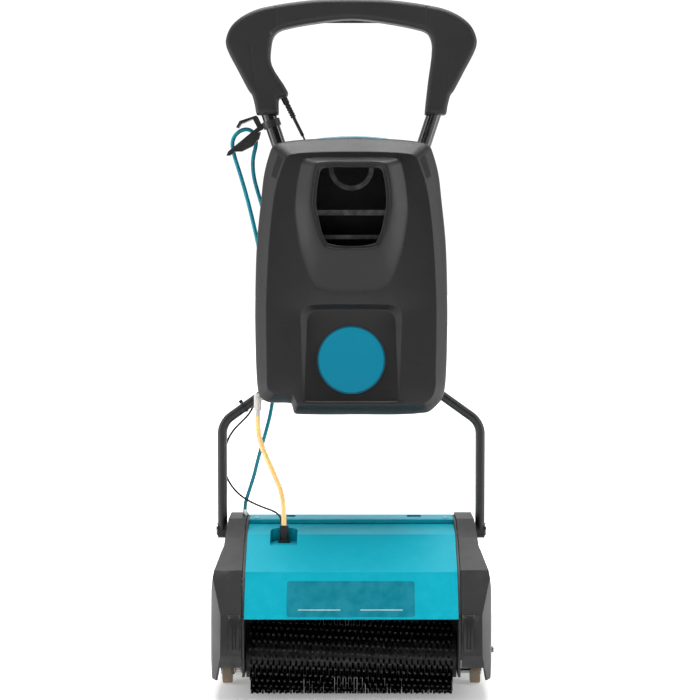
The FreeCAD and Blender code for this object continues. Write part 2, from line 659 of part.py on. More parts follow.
def latch_pins():
    pin = rod_x(LATCH_PIN_RADIUS, LATCH_IN - 0.3 - LUG_WIDTH, LATCH_OUT + 0.3 + LUG_WIDTH,
                LATCH_PIN_Y, LATCH_PIN_Z)
    return [pin, mirrored(pin)]


def adjuster_knob():
    head = rod_x(KNOB_RADIUS, POD_OUT + 0.3, POD_OUT + KNOB_REACH, KNOB_Y, KNOB_Z)
    stem = rod_x(KNOB_RADIUS / 2, POD_OUT - 8, POD_OUT + 1, KNOB_Y, KNOB_Z)
    slot = block(POD_OUT + KNOB_REACH - 1.5, POD_OUT + KNOB_REACH + 1, KNOB_Y - 6, KNOB_Y + 6,
                 KNOB_Z - 0.7, KNOB_Z + 0.7)
    return joined([head, stem]).cut(slot)


def cover_screws():
    screws = []
    for x in (-SCREW_X, SCREW_X):
        screws.append(joined([rod_z(4.5, LID_TOP, LID_TOP + 1.2, x, SCREW_Y),
                              rod_z(2.0, LID_BOTTOM + 1, LID_TOP, x, SCREW_Y)]))
    return screws


# ---- Handle ----
def yoke_solid(half_x, half_y, foot_z):
    """One arm of the yoke on the positive side as a solid bar of flat-oval section."""
    turn = math.pi / 2 - YOKE_SLOPE
    setback = YOKE_BEND_RADIUS * math.tan(turn / 2)
    upright = oval_face(YOKE_X, PIVOT_Y, foot_z, half_x, half_y)
    upright = upright.extrude(vector(0, 0, YOKE_CORNER_Z - setback - foot_z))
    bend_face = oval_face(YOKE_X, PIVOT_Y, YOKE_CORNER_Z - setback, half_x, half_y)
    bend_centre = vector(YOKE_X - YOKE_BEND_RADIUS, 0, YOKE_CORNER_Z - setback)
    bend = bend_face.revolve(bend_centre, vector(0, -1, 0), math.degrees(turn))
    end_face = bend_face.copy()
    end_face.rotate(bend_centre, vector(0, -1, 0), math.degrees(turn))
    run = (YOKE_X - YOKE_END_X) / math.cos(YOKE_SLOPE) - setback
    diagonal = end_face.extrude(vector(-math.cos(YOKE_SLOPE) * run, 0, math.sin(YOKE_SLOPE) * run))
    return joined([upright, bend, diagonal])


def yoke_arm():
    half_x = YOKE_THICKNESS / 2
    half_y = YOKE_DEPTH / 2
    outer = yoke_solid(half_x, half_y, PIVOT_Z)
    inner = yoke_solid(half_x - YOKE_WALL, half_y - YOKE_WALL, PIVOT_Z + half_y)
    foot = rod_x(half_y, YOKE_IN, YOKE_OUT, PIVOT_Y, PIVOT_Z)
    bore = rod_x(PIVOT_RADIUS + FIT, YOKE_IN - 1, YOKE_OUT + 1, PIVOT_Y, PIVOT_Z)
    return minus(joined([outer, foot]), [inner, bore])


def mast_x(z):
    return GRIP_COLLAR_X - MAST_SLOPE * (GRIP_BOTTOM - z)


MAST_FOOT = BRACKET_BOTTOM + 42.0     # the tubes stand this deep in the bracket and the grip
MAST_HEAD = GRIP_BOTTOM + 30.0


def mast_rod(radius, z0, z1):
    start = vector(mast_x(z0), MAST_Y, z0)
    end = vector(mast_x(z1), MAST_Y, z1)
    return Part.makeCylinder(radius, start.distanceToPoint(end), start, end - start)


def mast_tube():
    return mast_rod(MAST_RADIUS, MAST_FOOT, MAST_HEAD).cut(
        mast_rod(MAST_RADIUS - MAST_WALL, MAST_FOOT - 5, MAST_HEAD + 5))


def mast_bracket():
    body = block(-BRACKET_HALF_WIDTH, BRACKET_HALF_WIDTH, TANK_BACK, MAST_Y + MAST_RADIUS + 4,
                 BRACKET_BOTTOM, BRACKET_TOP)
    yoke = yoke_solid(YOKE_THICKNESS / 2 + FIT, YOKE_DEPTH / 2 + FIT, PIVOT_Z)
    tube = mast_rod(MAST_RADIUS + FIT, MAST_FOOT, MAST_HEAD)
    return minus(body, [yoke, mirrored(yoke), tube, mirrored(tube)])


GRIP_OUTER = [(0, GRIP_TOP), (70, GRIP_TOP - 2), (150, GRIP_TOP - 14), (184, GRIP_TOP - 27),
              (207, GRIP_TOP - 46), (217, GRIP_TOP - 70), (214, GRIP_TOP - 88),
              (178, GRIP_BOTTOM + 42), (172, GRIP_BOTTOM + 34), (164, GRIP_BOTTOM)]
GRIP_INNER_RIGHT = [(127, GRIP_BOTTOM), (133, GRIP_BOTTOM + 56), (140, GRIP_TOP - 83),
                    (134, GRIP_TOP - 61), (120, GRIP_TOP - 53), (60, GRIP_TOP - 41),
                    (0, GRIP_TOP - 35)]
GRIP_INNER_LEFT = [(-60, GRIP_TOP - 41), (-118, GRIP_TOP - 52), (-132, GRIP_TOP - 61),
                   (-138, GRIP_TOP - 78), (-138, GRIP_TOP - 112), (-110, GRIP_BOTTOM + 40),
                   (-113, GRIP_BOTTOM + 30), (-126, GRIP_BOTTOM + 28), (-126, GRIP_BOTTOM)]


def grip_outline():
    left_outer = [(-x, z) for x, z in reversed(GRIP_OUTER) if x > 0]
    return GRIP_OUTER + GRIP_INNER_RIGHT + GRIP_INNER_LEFT + left_outer


def grip_shell(y_open, y_face):
    """Half of the grip, open towards y_open and closed at y_face."""
    outline = grip_outline()
    body = prism_y(outline, min(y_open, y_face), max(y_open, y_face))
    inner_face = y_face + (GRIP_WALL if y_face < y_open else -GRIP_WALL)
    inner = inset_outline(outline, GRIP_WALL)
    room = prism_y(inner, min(y_open, inner_face) - (1 if y_open < inner_face else 0),
                   max(y_open, inner_face) + (1 if y_open > inner_face else 0))
    tube = mast_rod(MAST_RADIUS + FIT, GRIP_BOTTOM - 20, MAST_HEAD + 2)
    return minus(body, [room, tube, mirrored(tube)])


BUTTON_HALF = 17.0
BUTTON_Y = MAST_Y
LEVER_HALF = 58.0
LEVER_PIN_Z = GRIP_TOP - 11.0
LEVER_PIN_Y = 66.0


def grip_front_shell():
    shell = grip_shell(MAST_Y, GRIP_FRONT)
    return shell.cut(block(-BUTTON_HALF - 0.4, BUTTON_HALF + 0.4, BUTTON_Y - 7.4, BUTTON_Y + 7.4,
                           GRIP_TOP - 12, GRIP_TOP + 2))


def grip_rear_shell():
    shell = grip_shell(MAST_Y, GRIP_BACK)
    lugs = []
    for x in (-LEVER_HALF - 6, LEVER_HALF + 1):
        lug = joined([block(x, x + 5, GRIP_BACK - 1, LEVER_PIN_Y, LEVER_PIN_Z - 4, LEVER_PIN_Z + 4),
                      rod_x(4.0, x, x + 5, LEVER_PIN_Y, LEVER_PIN_Z)])
        lugs.append(lug.cut(rod_x(2.0 + FIT, x - 1, x + 6, LEVER_PIN_Y, LEVER_PIN_Z)))
    shell = joined([shell] + lugs)
    return shell.cut(block(-BUTTON_HALF - 0.4, BUTTON_HALF + 0.4, BUTTON_Y - 7.4, BUTTON_Y + 7.4,
                           GRIP_TOP - 12, GRIP_TOP + 2))


def switch_lever():
    blade = block(-LEVER_HALF, LEVER_HALF, LEVER_PIN_Y - 2.5, LEVER_PIN_Y + 2.5,
                  LEVER_PIN_Z - 26, LEVER_PIN_Z)
    barrel = rod_x(3.5, -LEVER_HALF, LEVER_HALF, LEVER_PIN_Y, LEVER_PIN_Z)
    stubs = rod_x(2.0, -LEVER_HALF - 6, LEVER_HALF + 6, LEVER_PIN_Y, LEVER_PIN_Z)
    return joined([blade, barrel, stubs])


def safety_button():
    cap = block(-BUTTON_HALF, BUTTON_HALF, BUTTON_Y - 7, BUTTON_Y + 7, GRIP_TOP - 8, GRIP_TOP + 3)
    edges = [edge for edge in cap.Edges if edge.BoundBox.ZMin > GRIP_TOP + 2]
    cap = cap.makeFillet(2.5, edges)
    foot = block(-BUTTON_HALF - 2, BUTTON_HALF + 2, BUTTON_Y - 6, BUTTON_Y + 6, GRIP_TOP - 10.4,
                 GRIP_TOP - 8)
    return joined([cap, foot.common(block(-99, 99, BUTTON_Y - 6, BUTTON_Y + 6, 0, GRIP_TOP))])


# ---- Solution tank ----
def panel_y(z):
    """Depth of the badge panel at a height."""
    share = (z - PANEL_FOOT_Z) / (PANEL_HEAD_Z - PANEL_FOOT_Z)
    return TANK_FRONT + PANEL_FOOT_DEPTH + share * (PANEL_HEAD_DEPTH - PANEL_FOOT_DEPTH)


TANK_HALF = [(0, TANK_TOP), (70, TANK_TOP - 2), (118, TANK_TOP - 7), (130, TANK_TOP - 12),
             (136, TANK_TOP - 20), (147, 880), (152, 840), (160, 760), (163, 662), (163, 615),
             (161, 540), (157, 506), (148, 490), (126, TANK_BOTTOM + 3), (0, TANK_BOTTOM)]
TANK_FACE_HALF = [(0, TANK_TOP - 25), (62, TANK_TOP - 26), (98, TANK_TOP - 29), (107, TANK_TOP - 34),
                  (112, TANK_TOP - 43), (122, 868), (130, 834), (138, 760), (143, 662), (143, 615),
                  (142, 545), (141, 518), (134, 501), (116, TANK_BOTTOM + 20), (0, TANK_BOTTOM + 18)]
HOOD_HALF = [(0, 905), (76, 903), (86, 893), (96, 825), (92, 780), (82, 734), (58, 688), (0, 681)]
FRAME_HALF = [(0, 897), (50, 896), (59, 889), (67, 832), (62, 797), (53, 768), (43, 753.5), (0, 750)]
WINDOW_HALF = [(0, 888), (44, 887), (52, 881), (58.5, 832), (54, 800), (46, 772), (38, 761), (0, 757)]
PANEL_HALF = [(0, 660), (66, 659), (78, 655), (85, 645), (85, 615), (80, 494), (0, 494)]
NOTCH_X = -100.0
NOTCH_HEIGHT = 20.0


def panel_recess(outline, grow):
    """The slanted pocket of the badge panel, deeper at its top, grown by a wall for its backing."""
    pocket = prism_y(outline, TANK_FRONT - 1, TANK_FRONT + 40)
    slant = prism_x([(TANK_FRONT - 1, PANEL_FOOT_Z - 9), (TANK_FRONT - 1, PANEL_HEAD_Z + 9),
                     (panel_y(PANEL_HEAD_Z + 9) + grow, PANEL_HEAD_Z + 9),
                     (panel_y(PANEL_FOOT_Z - 9) + grow, PANEL_FOOT_Z - 9)], -200, 200)
    return pocket.common(slant)


def tank_shell():
    outline = whole_outline(TANK_HALF)
    face = whole_outline(TANK_FACE_HALF)
    shoulder = TANK_FRONT + TANK_BEVEL_DEPTH
    rear = prism_y(outline, shoulder, TANK_BACK)
    bevel = loft_y(face, TANK_FRONT, outline, shoulder)
    hood = loft_y(whole_outline(FRAME_HALF), TANK_FRONT - HOOD_HEIGHT,
                  whole_outline(HOOD_HALF), TANK_FRONT)
    body = joined([rear, bevel, hood])
    room = prism_y(inset_outline(outline, TANK_WALL), shoulder, TANK_BACK - TANK_WALL)
    front_room = loft_y(inset_outline(face, TANK_WALL), TANK_FRONT + TANK_WALL,
                        inset_outline(outline, TANK_WALL), shoulder)
    panel = whole_outline(PANEL_HALF)
    backing = panel_recess(inset_outline(panel, -TANK_WALL), TANK_WALL)
    notch = block(-200, NOTCH_X, TANK_FRONT - 9, TANK_BACK + 9, TANK_BOTTOM - 9,
                  TANK_BOTTOM + NOTCH_HEIGHT)
    notch_backing = block(-200, NOTCH_X + TANK_WALL, TANK_FRONT - 9, TANK_BACK + 9,
                          TANK_BOTTOM - 9, TANK_BOTTOM + NOTCH_HEIGHT + TANK_WALL)
    room = minus(joined([room, front_room]), [backing, notch_backing])
    window = prism_y(whole_outline(WINDOW_HALF), TANK_FRONT - HOOD_HEIGHT - 2,
                     TANK_FRONT + TANK_WALL + 1)
    return minus(body, [room, window, panel_recess(panel, 0.0), notch])


def tank_badge():
    disc = rod_y(BADGE_RADIUS, -1.2, 0, 0, 0)
    slant = math.atan((PANEL_HEAD_DEPTH - PANEL_FOOT_DEPTH) / (PANEL_HEAD_Z - PANEL_FOOT_Z))
    disc.rotate(ORIGIN, X_AXIS, -math.degrees(slant))
    disc.translate(vector(0, panel_y(BADGE_Z), BADGE_Z))
    return disc


TAP_X = -160.0
TAP_Y = -40.0
TAP_BOTTOM = 466.0
TAP_ARM_Z = 497.0


def outlet_tap():
    body = rod_z(6.5, 476, 505, TAP_X, TAP_Y)
    barb = rod_z(4.0, TAP_BOTTOM, 476, TAP_X, TAP_Y)
    tank = prism_y(whole_outline(TANK_HALF), TANK_FRONT, TANK_BACK)
    arm = rod_x(4.0, TAP_X, TAP_X + 30, TAP_Y, TAP_ARM_Z)
    return joined([body, barb, arm]).cut(tank)


# ---- Cable storage ----
def collar_at(z, length, radius):
    low = z - length / 2
    return mirrored(mast_rod(radius, low, low + length))


def cable_guide_arm():
    ring = collar_at(969, 12, MAST_RADIUS + 3)
    bar = prism_y([(-146, 977), (-214, 921), (-217, 914), (-211, 914), (-145, 968)],
                  MAST_Y - 4, MAST_Y + 9)
    lens = prism_y([(-157, 955), (-160, 943), (-172, 930), (-190, 921), (-202, 921), (-200, 931),
                    (-175, 950)], MAST_Y - 4, MAST_Y + 8)
    lug = prism_y([(-162, 981), (-165, 983.5), (-194, 974), (-200, 963), (-196, 962), (-191, 969)],
                  MAST_Y - 4, MAST_Y + 20)
    post = prism_y([(-162, 981), (-172, 979), (-160, 956), (-152, 960)], MAST_Y - 4, MAST_Y + 9)
    return joined([ring, bar, lens, lug, post]).cut(collar_at(969, 60, MAST_RADIUS + FIT))


HOOK_BAR_Z = 915.0
HOOK_LIP = 4.0


def coil_track(inward, y0, y1):
    """The coil's rounded oblong, fuller at the shoulders than an ellipse, drawn inward by a distance."""
    points = []
    for step in range(COIL_STEPS):
        angle = 2 * math.pi * step / COIL_STEPS
        across = math.copysign(abs(math.cos(angle)) ** (2 / COIL_SQUARENESS), math.cos(angle))
        upward = math.copysign(abs(math.sin(angle)) ** (2 / COIL_SQUARENESS), math.sin(angle))
        points.append(vector((COIL_HALF_WIDTH - inward) * across, y0,
                             COIL_Z + (COIL_HALF_HEIGHT - inward) * upward))
    outline = Part.BSplineCurve()
    outline.interpolate(Points=points, PeriodicFlag=True)
    return Part.Face(Part.Wire(outline.toShape())).extrude(vector(0, y1 - y0, 0))


def upper_cable_hook():
    back_of_tubes = MAST_Y + MAST_RADIUS + 0.3
    bar = block(-142, 142, back_of_tubes, back_of_tubes + 6, HOOK_BAR_Z - 7, HOOK_BAR_Z + 7)
    reach = block(-44, 44, back_of_tubes, COIL_BACK + 1 + HOOK_LIP, HOOK_BAR_Z - 22, HOOK_BAR_Z + 30)
    saddle = reach.common(coil_track(COIL_RADIAL + 0.3, 0, 2 * COIL_BACK))
    saddle = saddle.cut(coil_track(COIL_RADIAL + 6, -1, 2 * COIL_BACK + 1))
    lip = block(-30, 30, COIL_BACK + 1, COIL_BACK + 1 + HOOK_LIP, HOOK_BAR_Z - 4, HOOK_BAR_Z + 31)
    return joined([bar, saddle, lip])


SWIVEL_Z = COIL_Z - COIL_HALF_HEIGHT + COIL_RADIAL + 26.0


def lower_cable_hook():
    bracket_back = MAST_Y + MAST_RADIUS + 4.3
    post = rod_y(25.6, bracket_back, COIL_BACK + 1.5, 0, SWIVEL_Z)
    room = rod_y(22.0, bracket_back + 4, COIL_BACK - 3, 0, SWIVEL_Z)
    lip = block(-15, 15, COIL_BACK + 1.5, COIL_BACK + 6, SWIVEL_Z - 58, SWIVEL_Z + 10)
    return joined([post, lip]).cut(room)


def cable_tie():
    """Tie round the left yoke diagonal, a narrow band with its square head."""
    half_x = YOKE_THICKNESS / 2
    half_y = YOKE_DEPTH / 2
    along = (YOKE_X - 186) / math.cos(YOKE_SLOPE)
    outer = oval_face(0, PIVOT_Y, -2, half_x + 1.6, half_y + 1.6)
    inner = oval_face(0, PIVOT_Y, -3, half_x + FIT, half_y + FIT)
    band = outer.extrude(vector(0, 0, 4)).cut(inner.extrude(vector(0, 0, 6)))
    head = block(-half_x - 6, -half_x - 1, PIVOT_Y - 3, PIVOT_Y + 3, -3, 3)
    tie = joined([band, head])
    tie.rotate(ORIGIN, Y_AXIS, 90 - math.degrees(YOKE_SLOPE))
    tie.translate(vector(-YOKE_X + along * math.cos(YOKE_SLOPE), 0,
                         YOKE_CORNER_Z + along * math.sin(YOKE_SLOPE)))
    return tie


CONTROL_START = vector(-118, MAST_Y, GRIP_BOTTOM + 32)
CONTROL_HEADING = vector(0.447, 0, -0.894)


def control_cable_boot():
    stages = ((5.5, 0, 14), (4.2, 14, 40), (3.0, 40, 76))
    rods = []
    for radius, near, far in stages:
        foot = CONTROL_START + CONTROL_HEADING * near
        rods.append(Part.makeCylinder(radius, far - near, foot, CONTROL_HEADING))
    for index in range(5):
        foot = CONTROL_START + CONTROL_HEADING * (18 + index * 5)
        rods.append(Part.makeCylinder(5.0, 2, foot, CONTROL_HEADING))
    return joined(rods).cut(prism_y(grip_outline(), GRIP_FRONT, GRIP_BACK))


GLAND_Y = 40.0
GLAND_Z = BRACKET_BOTTOM + 50.0


def mains_gland():
    return joined([rod_x(8, -BRACKET_HALF_WIDTH - 5, -BRACKET_HALF_WIDTH, GLAND_Y, GLAND_Z),
                   rod_x(6, -BRACKET_HALF_WIDTH - 14, -BRACKET_HALF_WIDTH - 5, GLAND_Y, GLAND_Z)])


PLUG_X = 143.0
PLUG_FOOT = 696.0
PLUG_HEIGHT = 46.0
PLUG_HALF_WIDTH = 17.0
PLUG_DEPTH = 24.0
PLUG_SLEEVE = 26.0
PLUG_PIN = 18.0


def mains_plug():
    """Plug with its sleeve below, where the last turn of the cable rises into it."""
    top = PLUG_FOOT + PLUG_HEIGHT
    body = block(PLUG_X - PLUG_HALF_WIDTH, PLUG_X + PLUG_HALF_WIDTH, COIL_BACK, COIL_BACK + PLUG_DEPTH,
                 PLUG_FOOT, top)
    edges = [edge for edge in body.Edges if edge.BoundBox.YMin > COIL_BACK + 1]
    body = body.makeFillet(5.0, edges)
    sleeve = Part.makeCone(4.6, 6.0, PLUG_SLEEVE,
                           vector(PLUG_X, COIL_BACK + 8, PLUG_FOOT - PLUG_SLEEVE), Z_AXIS)
    pins = []
    for x, y in ((0, 6), (-11, 15), (11, 15)):
        pins.append(block(PLUG_X + x - 3, PLUG_X + x + 3, COIL_BACK + y - 2, COIL_BACK + y + 2,
                          top, top + PLUG_PIN))
    return joined([body, sleeve] + pins)


def mains_coil():
    return coil_track(0, COIL_FRONT, COIL_BACK).cut(
        coil_track(COIL_RADIAL, COIL_FRONT - 1, COIL_BACK + 1))


# ---- Cords: routes chosen by hand ----
HOSE_ROUTE = [(-160, -40, 466), (-160, -40, 448), (-157.3, -40.2, 427), (-149.5, -40.5, 405),
              (-140.5, -41, 385), (-130.5, -42, 363), (-121.5, -43, 342), (-116.8, -44, 321),
              (-115.4, -45, 300), (-115.4, -45, 279)]
LEAD_ROUTE = [(-50, 46, 642), (-70, 46, 642), (-94, 49, 632), (-111, 54, 602), (-123, 55.5, 562),
              (-132, 53, 524), (-137, 47, 492), (-141, 42, 466), (-146.5, 38, 443),
              (-153, 36, 420), (-159.5, 35, 398), (-165, 34.4, 377), (-170, 34, 356),
              (-176.5, 33.4, 336), (-182.3, 33.1, 318), (-185.6, 33, 306.5), (-186, 33, 297.2)]
CONTROL_ROUTE = [(-84.03, 38, 948.06), (-77, 38.6, 934), (-71, 42, 906), (-70, 49, 870), (-77, 55, 828),
                 (-89, 57.5, 776), (-102, 58.2, 724), (-115, 58, 670), (-129, 57, 616),
                 (-143, 55, 562), (-156, 52, 518), (-167, 47.5, 486), (-178, 37, 464),
                 (-192, 31, 450), (-206, 36, 436), (-217, 46, 418), (-223, 53, 396),
                 (-225, 55, 372), (-219, 51, 350), (-207, 42, 332), (-190, 31, 318),
                 (-171, 21, 309), (-152, 7, 303), (-138, -9, 300.5), (-127, -24.5, 297),
                 (-120.5, -35.5, 290.5), (-119, -39.3, 279.6)]
MAINS_ROUTE = [(-64, 40, 616), (-84, 40, 616), (-109, 42, 626), (-131, 45.5, 652), (-147, 49, 692),
               (-158, 51, 738), (-169, 52, 788), (-181, 52.5, 838), (-195, 52.5, 886),
               (-205.5, 52.5, 918), (-208.5, 52.5, 940), (-198.5, 52.5, 956), (-181, 52.5, 962),
               (-167, 53, 953), (-165.5, 54, 934), (-172.5, 56, 910), (-171.5, 60, 880),
               (-163, 66, 848), (-154, 72, 818), (-149, 76, 796)]


PARTS = {
    "side_frame_left": [side_frame(-1)],
    "side_frame_right": [side_frame(1)],
    "tie_bars": tie_bars(),
    "motor_cradle": [motor_cradle()],
    "motor_body": [motor_body()],
    "motor_rotor": [motor_rotor()],
    "drive_belt": [drive_belt()],
    "front_brush_core": [brush_core(-BRUSH_Y, BELT_OUT + 1)],
    "front_brush_bristles": [brush_bristles(-BRUSH_Y)],
    "front_brush_gear": [front_brush_gear()],
    "rear_brush_core": [brush_core(BRUSH_Y, GEAR_OUT + 1)],
    "rear_brush_bristles": [brush_bristles(BRUSH_Y)],
    "rear_brush_gear": [rear_brush_gear()],
    "front_idler_gear": [idler_gear(-IDLER_Y, FRONT_IDLER_PHASE)],
    "rear_idler_gear": [idler_gear(IDLER_Y, REAR_IDLER_PHASE)],
    "recovery_drum": [recovery_drum()],
    "shaft_bearings": bearings(),
    "axle_pins": axle_pins(),
    "spray_bar": [spray_bar()],
    "front_cover": [front_cover()],
    "hose_boot": [hose_boot()],
    "lead_gland": [lead_gland()],
    "waste_tank": [waste_tank()],
    "waste_tank_lid": [waste_tank_lid()],
    "lid_screws": cover_screws(),
    "pod_cover_left": [pod_cover(-1)],
    "pod_cover_right": [pod_cover(1)],
    "brush_latch_left": [mirrored(brush_latch())],
    "brush_latch_right": [brush_latch()],
    "latch_pins": latch_pins(),
    "adjuster_knob": [adjuster_knob()],
    "roller_left": [mirrored(roller())],
    "roller_right": [roller()],
    "wheel_left": [mirrored(wheel())],
    "wheel_right": [wheel()],
    "pivot_pins": pivot_pins(),
    "yoke_arm_left": [mirrored(yoke_arm())],
    "yoke_arm_right": [yoke_arm()],
    "mast_bracket": [mast_bracket()],
    "mast_tube_left": [mirrored(mast_tube())],
    "mast_tube_right": [mast_tube()],
    "grip_front_shell": [grip_front_shell()],
    "grip_rear_shell": [grip_rear_shell()],
    "switch_lever": [switch_lever()],
    "safety_button": [safety_button()],
    "tank_shell": [tank_shell()],
    "tank_badge": [tank_badge()],
    "outlet_tap": [outlet_tap()],
    "cable_guide_arm": [cable_guide_arm()],
    "upper_cable_hook": [upper_cable_hook()],
    "lower_cable_hook": [lower_cable_hook()],
    "cable_tie": [cable_tie()],
    "control_cable_boot": [control_cable_boot()],
    "mains_gland": [mains_gland()],
    "mains_plug": [mains_plug()],
    "mains_coil": [mains_coil()],
    "solution_hose": [cord_tube("solution_hose", HOSE_ROUTE, HOSE_DIAMETER)],
    "motor_lead": [cord_tube("motor_lead", LEAD_ROUTE, LEAD_DIAMETER)],
    "control_cable": [cord_tube("control_cable", CONTROL_ROUTE, CONTROL_DIAMETER)],
    "mains_cable": [cord_tube("mains_cable", MAINS_ROUTE, MAINS_DIAMETER)],
}

os.makedirs("parts", exist_ok=True)
for name, solids in PARTS.items():
    shape = solids[0] if len(solids) == 1 else Part.makeCompound(solids)
    if not shape.isValid() or shape.Volume <= 0:
        print("NOT VALID", name, shape.Volume)
    shape.exportStep("parts/" + name + ".step")
print(len(PARTS), "nodes")
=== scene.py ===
import json
import math
import random

import bmesh
import bpy
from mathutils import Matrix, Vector

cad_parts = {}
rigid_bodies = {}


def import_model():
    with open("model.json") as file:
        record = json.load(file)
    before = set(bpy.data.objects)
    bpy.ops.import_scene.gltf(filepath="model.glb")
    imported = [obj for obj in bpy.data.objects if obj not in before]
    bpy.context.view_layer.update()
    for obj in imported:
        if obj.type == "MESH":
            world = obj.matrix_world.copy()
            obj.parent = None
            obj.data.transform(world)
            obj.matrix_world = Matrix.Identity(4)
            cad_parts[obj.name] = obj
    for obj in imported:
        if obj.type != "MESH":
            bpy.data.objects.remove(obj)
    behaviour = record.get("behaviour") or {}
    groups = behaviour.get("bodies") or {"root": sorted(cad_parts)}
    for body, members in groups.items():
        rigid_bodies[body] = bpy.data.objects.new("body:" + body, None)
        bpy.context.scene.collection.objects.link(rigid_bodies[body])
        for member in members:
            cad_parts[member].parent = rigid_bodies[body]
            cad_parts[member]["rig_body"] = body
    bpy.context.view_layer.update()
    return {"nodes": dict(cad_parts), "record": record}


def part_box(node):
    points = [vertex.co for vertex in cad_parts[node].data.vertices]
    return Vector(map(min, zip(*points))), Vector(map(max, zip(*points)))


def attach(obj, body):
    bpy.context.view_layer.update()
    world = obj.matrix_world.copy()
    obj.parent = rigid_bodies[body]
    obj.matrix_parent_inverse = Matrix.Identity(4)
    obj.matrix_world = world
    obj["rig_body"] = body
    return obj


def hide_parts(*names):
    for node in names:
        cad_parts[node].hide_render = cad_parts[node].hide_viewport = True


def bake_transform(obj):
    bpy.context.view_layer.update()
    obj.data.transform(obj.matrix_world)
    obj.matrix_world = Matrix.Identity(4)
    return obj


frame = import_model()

# Upright twin-brush carpet cleaner. Metres, +Z up, front towards -Y.
# Outlines, routes and sizes are in millimetres and brought to metres by MM, unless they say metres.
MM = 0.001
SLOT_OF = {part["node"]: part["material_slot"] for part in frame["record"]["subparts"]}


# ---- Camera, lights and floor ----
def place_camera():
    camera = bpy.data.objects.new("camera", bpy.data.cameras.new("camera"))
    camera.data.lens = 104.3
    camera.data.sensor_width = 36.0
    camera.location = (-0.0022, -3.5, 0.75)
    camera.rotation_euler = (math.radians(90 - 2.82), 0, 0)
    bpy.context.scene.collection.objects.link(camera)
    bpy.context.scene.camera = camera


def soft_light(name, place, target, width, height, power):
    lamp = bpy.data.lights.new(name, "AREA")
    lamp.shape = "RECTANGLE"
    lamp.size = width
    lamp.size_y = height
    lamp.energy = power
    holder = bpy.data.objects.new(name, lamp)
    holder.location = place
    aim = Vector(target) - Vector(place)
    holder.rotation_euler = aim.to_track_quat("-Z", "Y").to_euler()
    bpy.context.scene.collection.objects.link(holder)


def light_studio():
    """A large overhead softbox and side panels, with a dim front that keeps black plastic black."""
    soft_light("softbox_overhead", (0, 0.1, 3.2), (0, 0.1, 0.3), 2.4, 2.2, 150)
    soft_light("softbox_front", (-1.4, -3.6, 2.4), (0, 0, 0.5), 1.2, 1.2, 10)
    soft_light("softbox_right", (2.4, -0.5, 1.1), (0, 0, 0.6), 1.0, 2.2, 30)
    soft_light("softbox_left", (-2.4, -0.5, 1.1), (0, 0, 0.6), 1.0, 2.2, 26)
    world = bpy.data.worlds.new("studio")
    bpy.context.scene.world = world
    world.use_nodes = True
    tree = world.node_tree
    place = add(tree, "TexCoord").outputs["Generated"]
    parts = add(tree, "SeparateXYZ", Vector=place)
    glow = ranged(tree, parts.outputs["Y"], -0.6, 0.6, 0.06, 1.1)
    tree.links.new(glow, tree.nodes["Background"].inputs["Strength"])
    tree.nodes["Background"].inputs["Color"].default_value = (1, 1, 1, 1)
    bpy.context.scene.view_settings.view_transform = "Standard"


# ---- Shader helpers ----
def paint(red, green, blue):
    """A display colour, 0 to 255, as linear light."""
    linear = []
    for share in (red / 255, green / 255, blue / 255):
        linear.append(share / 12.92 if share <= 0.04045 else ((share + 0.055) / 1.055) ** 2.4)
    return (*linear, 1.0)


def add(tree, kind, settings=None, **inputs):
    """A shader node with its settings made and its named inputs set or linked."""
    made = tree.nodes.new("ShaderNode" + kind)
    for key, value in (settings or {}).items():
        setattr(made, key, value)
    for key, value in inputs.items():
        socket = made.inputs[key.replace("_", " ")]
        if isinstance(value, bpy.types.NodeSocket):
            tree.links.new(value, socket)
        else:
            socket.default_value = value
    return made


def mixed(tree, share, first, second):
    """Two colours mixed by a mask."""
    made = tree.nodes.new("ShaderNodeMix")
    made.data_type = "RGBA"
    sockets = {socket.identifier: socket for socket in made.inputs}
    for key, value in (("Factor_Float", share), ("A_Color", first), ("B_Color", second)):
        if isinstance(value, bpy.types.NodeSocket):
            tree.links.new(value, sockets[key])
        else:
            sockets[key].default_value = value
    return [socket for socket in made.outputs if socket.identifier == "Result_Color"][0]


def ranged(tree, value, low, high, out_low, out_high):
    made = add(tree, "MapRange", Value=value, From_Min=low, From_Max=high,
               To_Min=out_low, To_Max=out_high)
    return made.outputs["Result"]


def sums(tree, operation, first, second):
    made = tree.nodes.new("ShaderNodeMath")
    made.operation = operation
    for index, value in enumerate((first, second)):
        if isinstance(value, bpy.types.NodeSocket):
            tree.links.new(value, made.inputs[index])
        else:
            made.inputs[index].default_value = value
    return made.outputs[0]


def new_group(name, inputs, outputs):
    """An empty shader node group with named number inputs and outputs."""
    tree = bpy.data.node_groups.new(name, "ShaderNodeTree")
    for label, start in inputs:
        socket = tree.interface.new_socket(name=label, in_out="INPUT", socket_type="NodeSocketFloat")
        socket.default_value = start
    for label in outputs:
        tree.interface.new_socket(name=label, in_out="OUTPUT", socket_type="NodeSocketFloat")
    entry = tree.nodes.new("NodeGroupInput")
    leave = tree.nodes.new("NodeGroupOutput")
    return tree, entry, leave


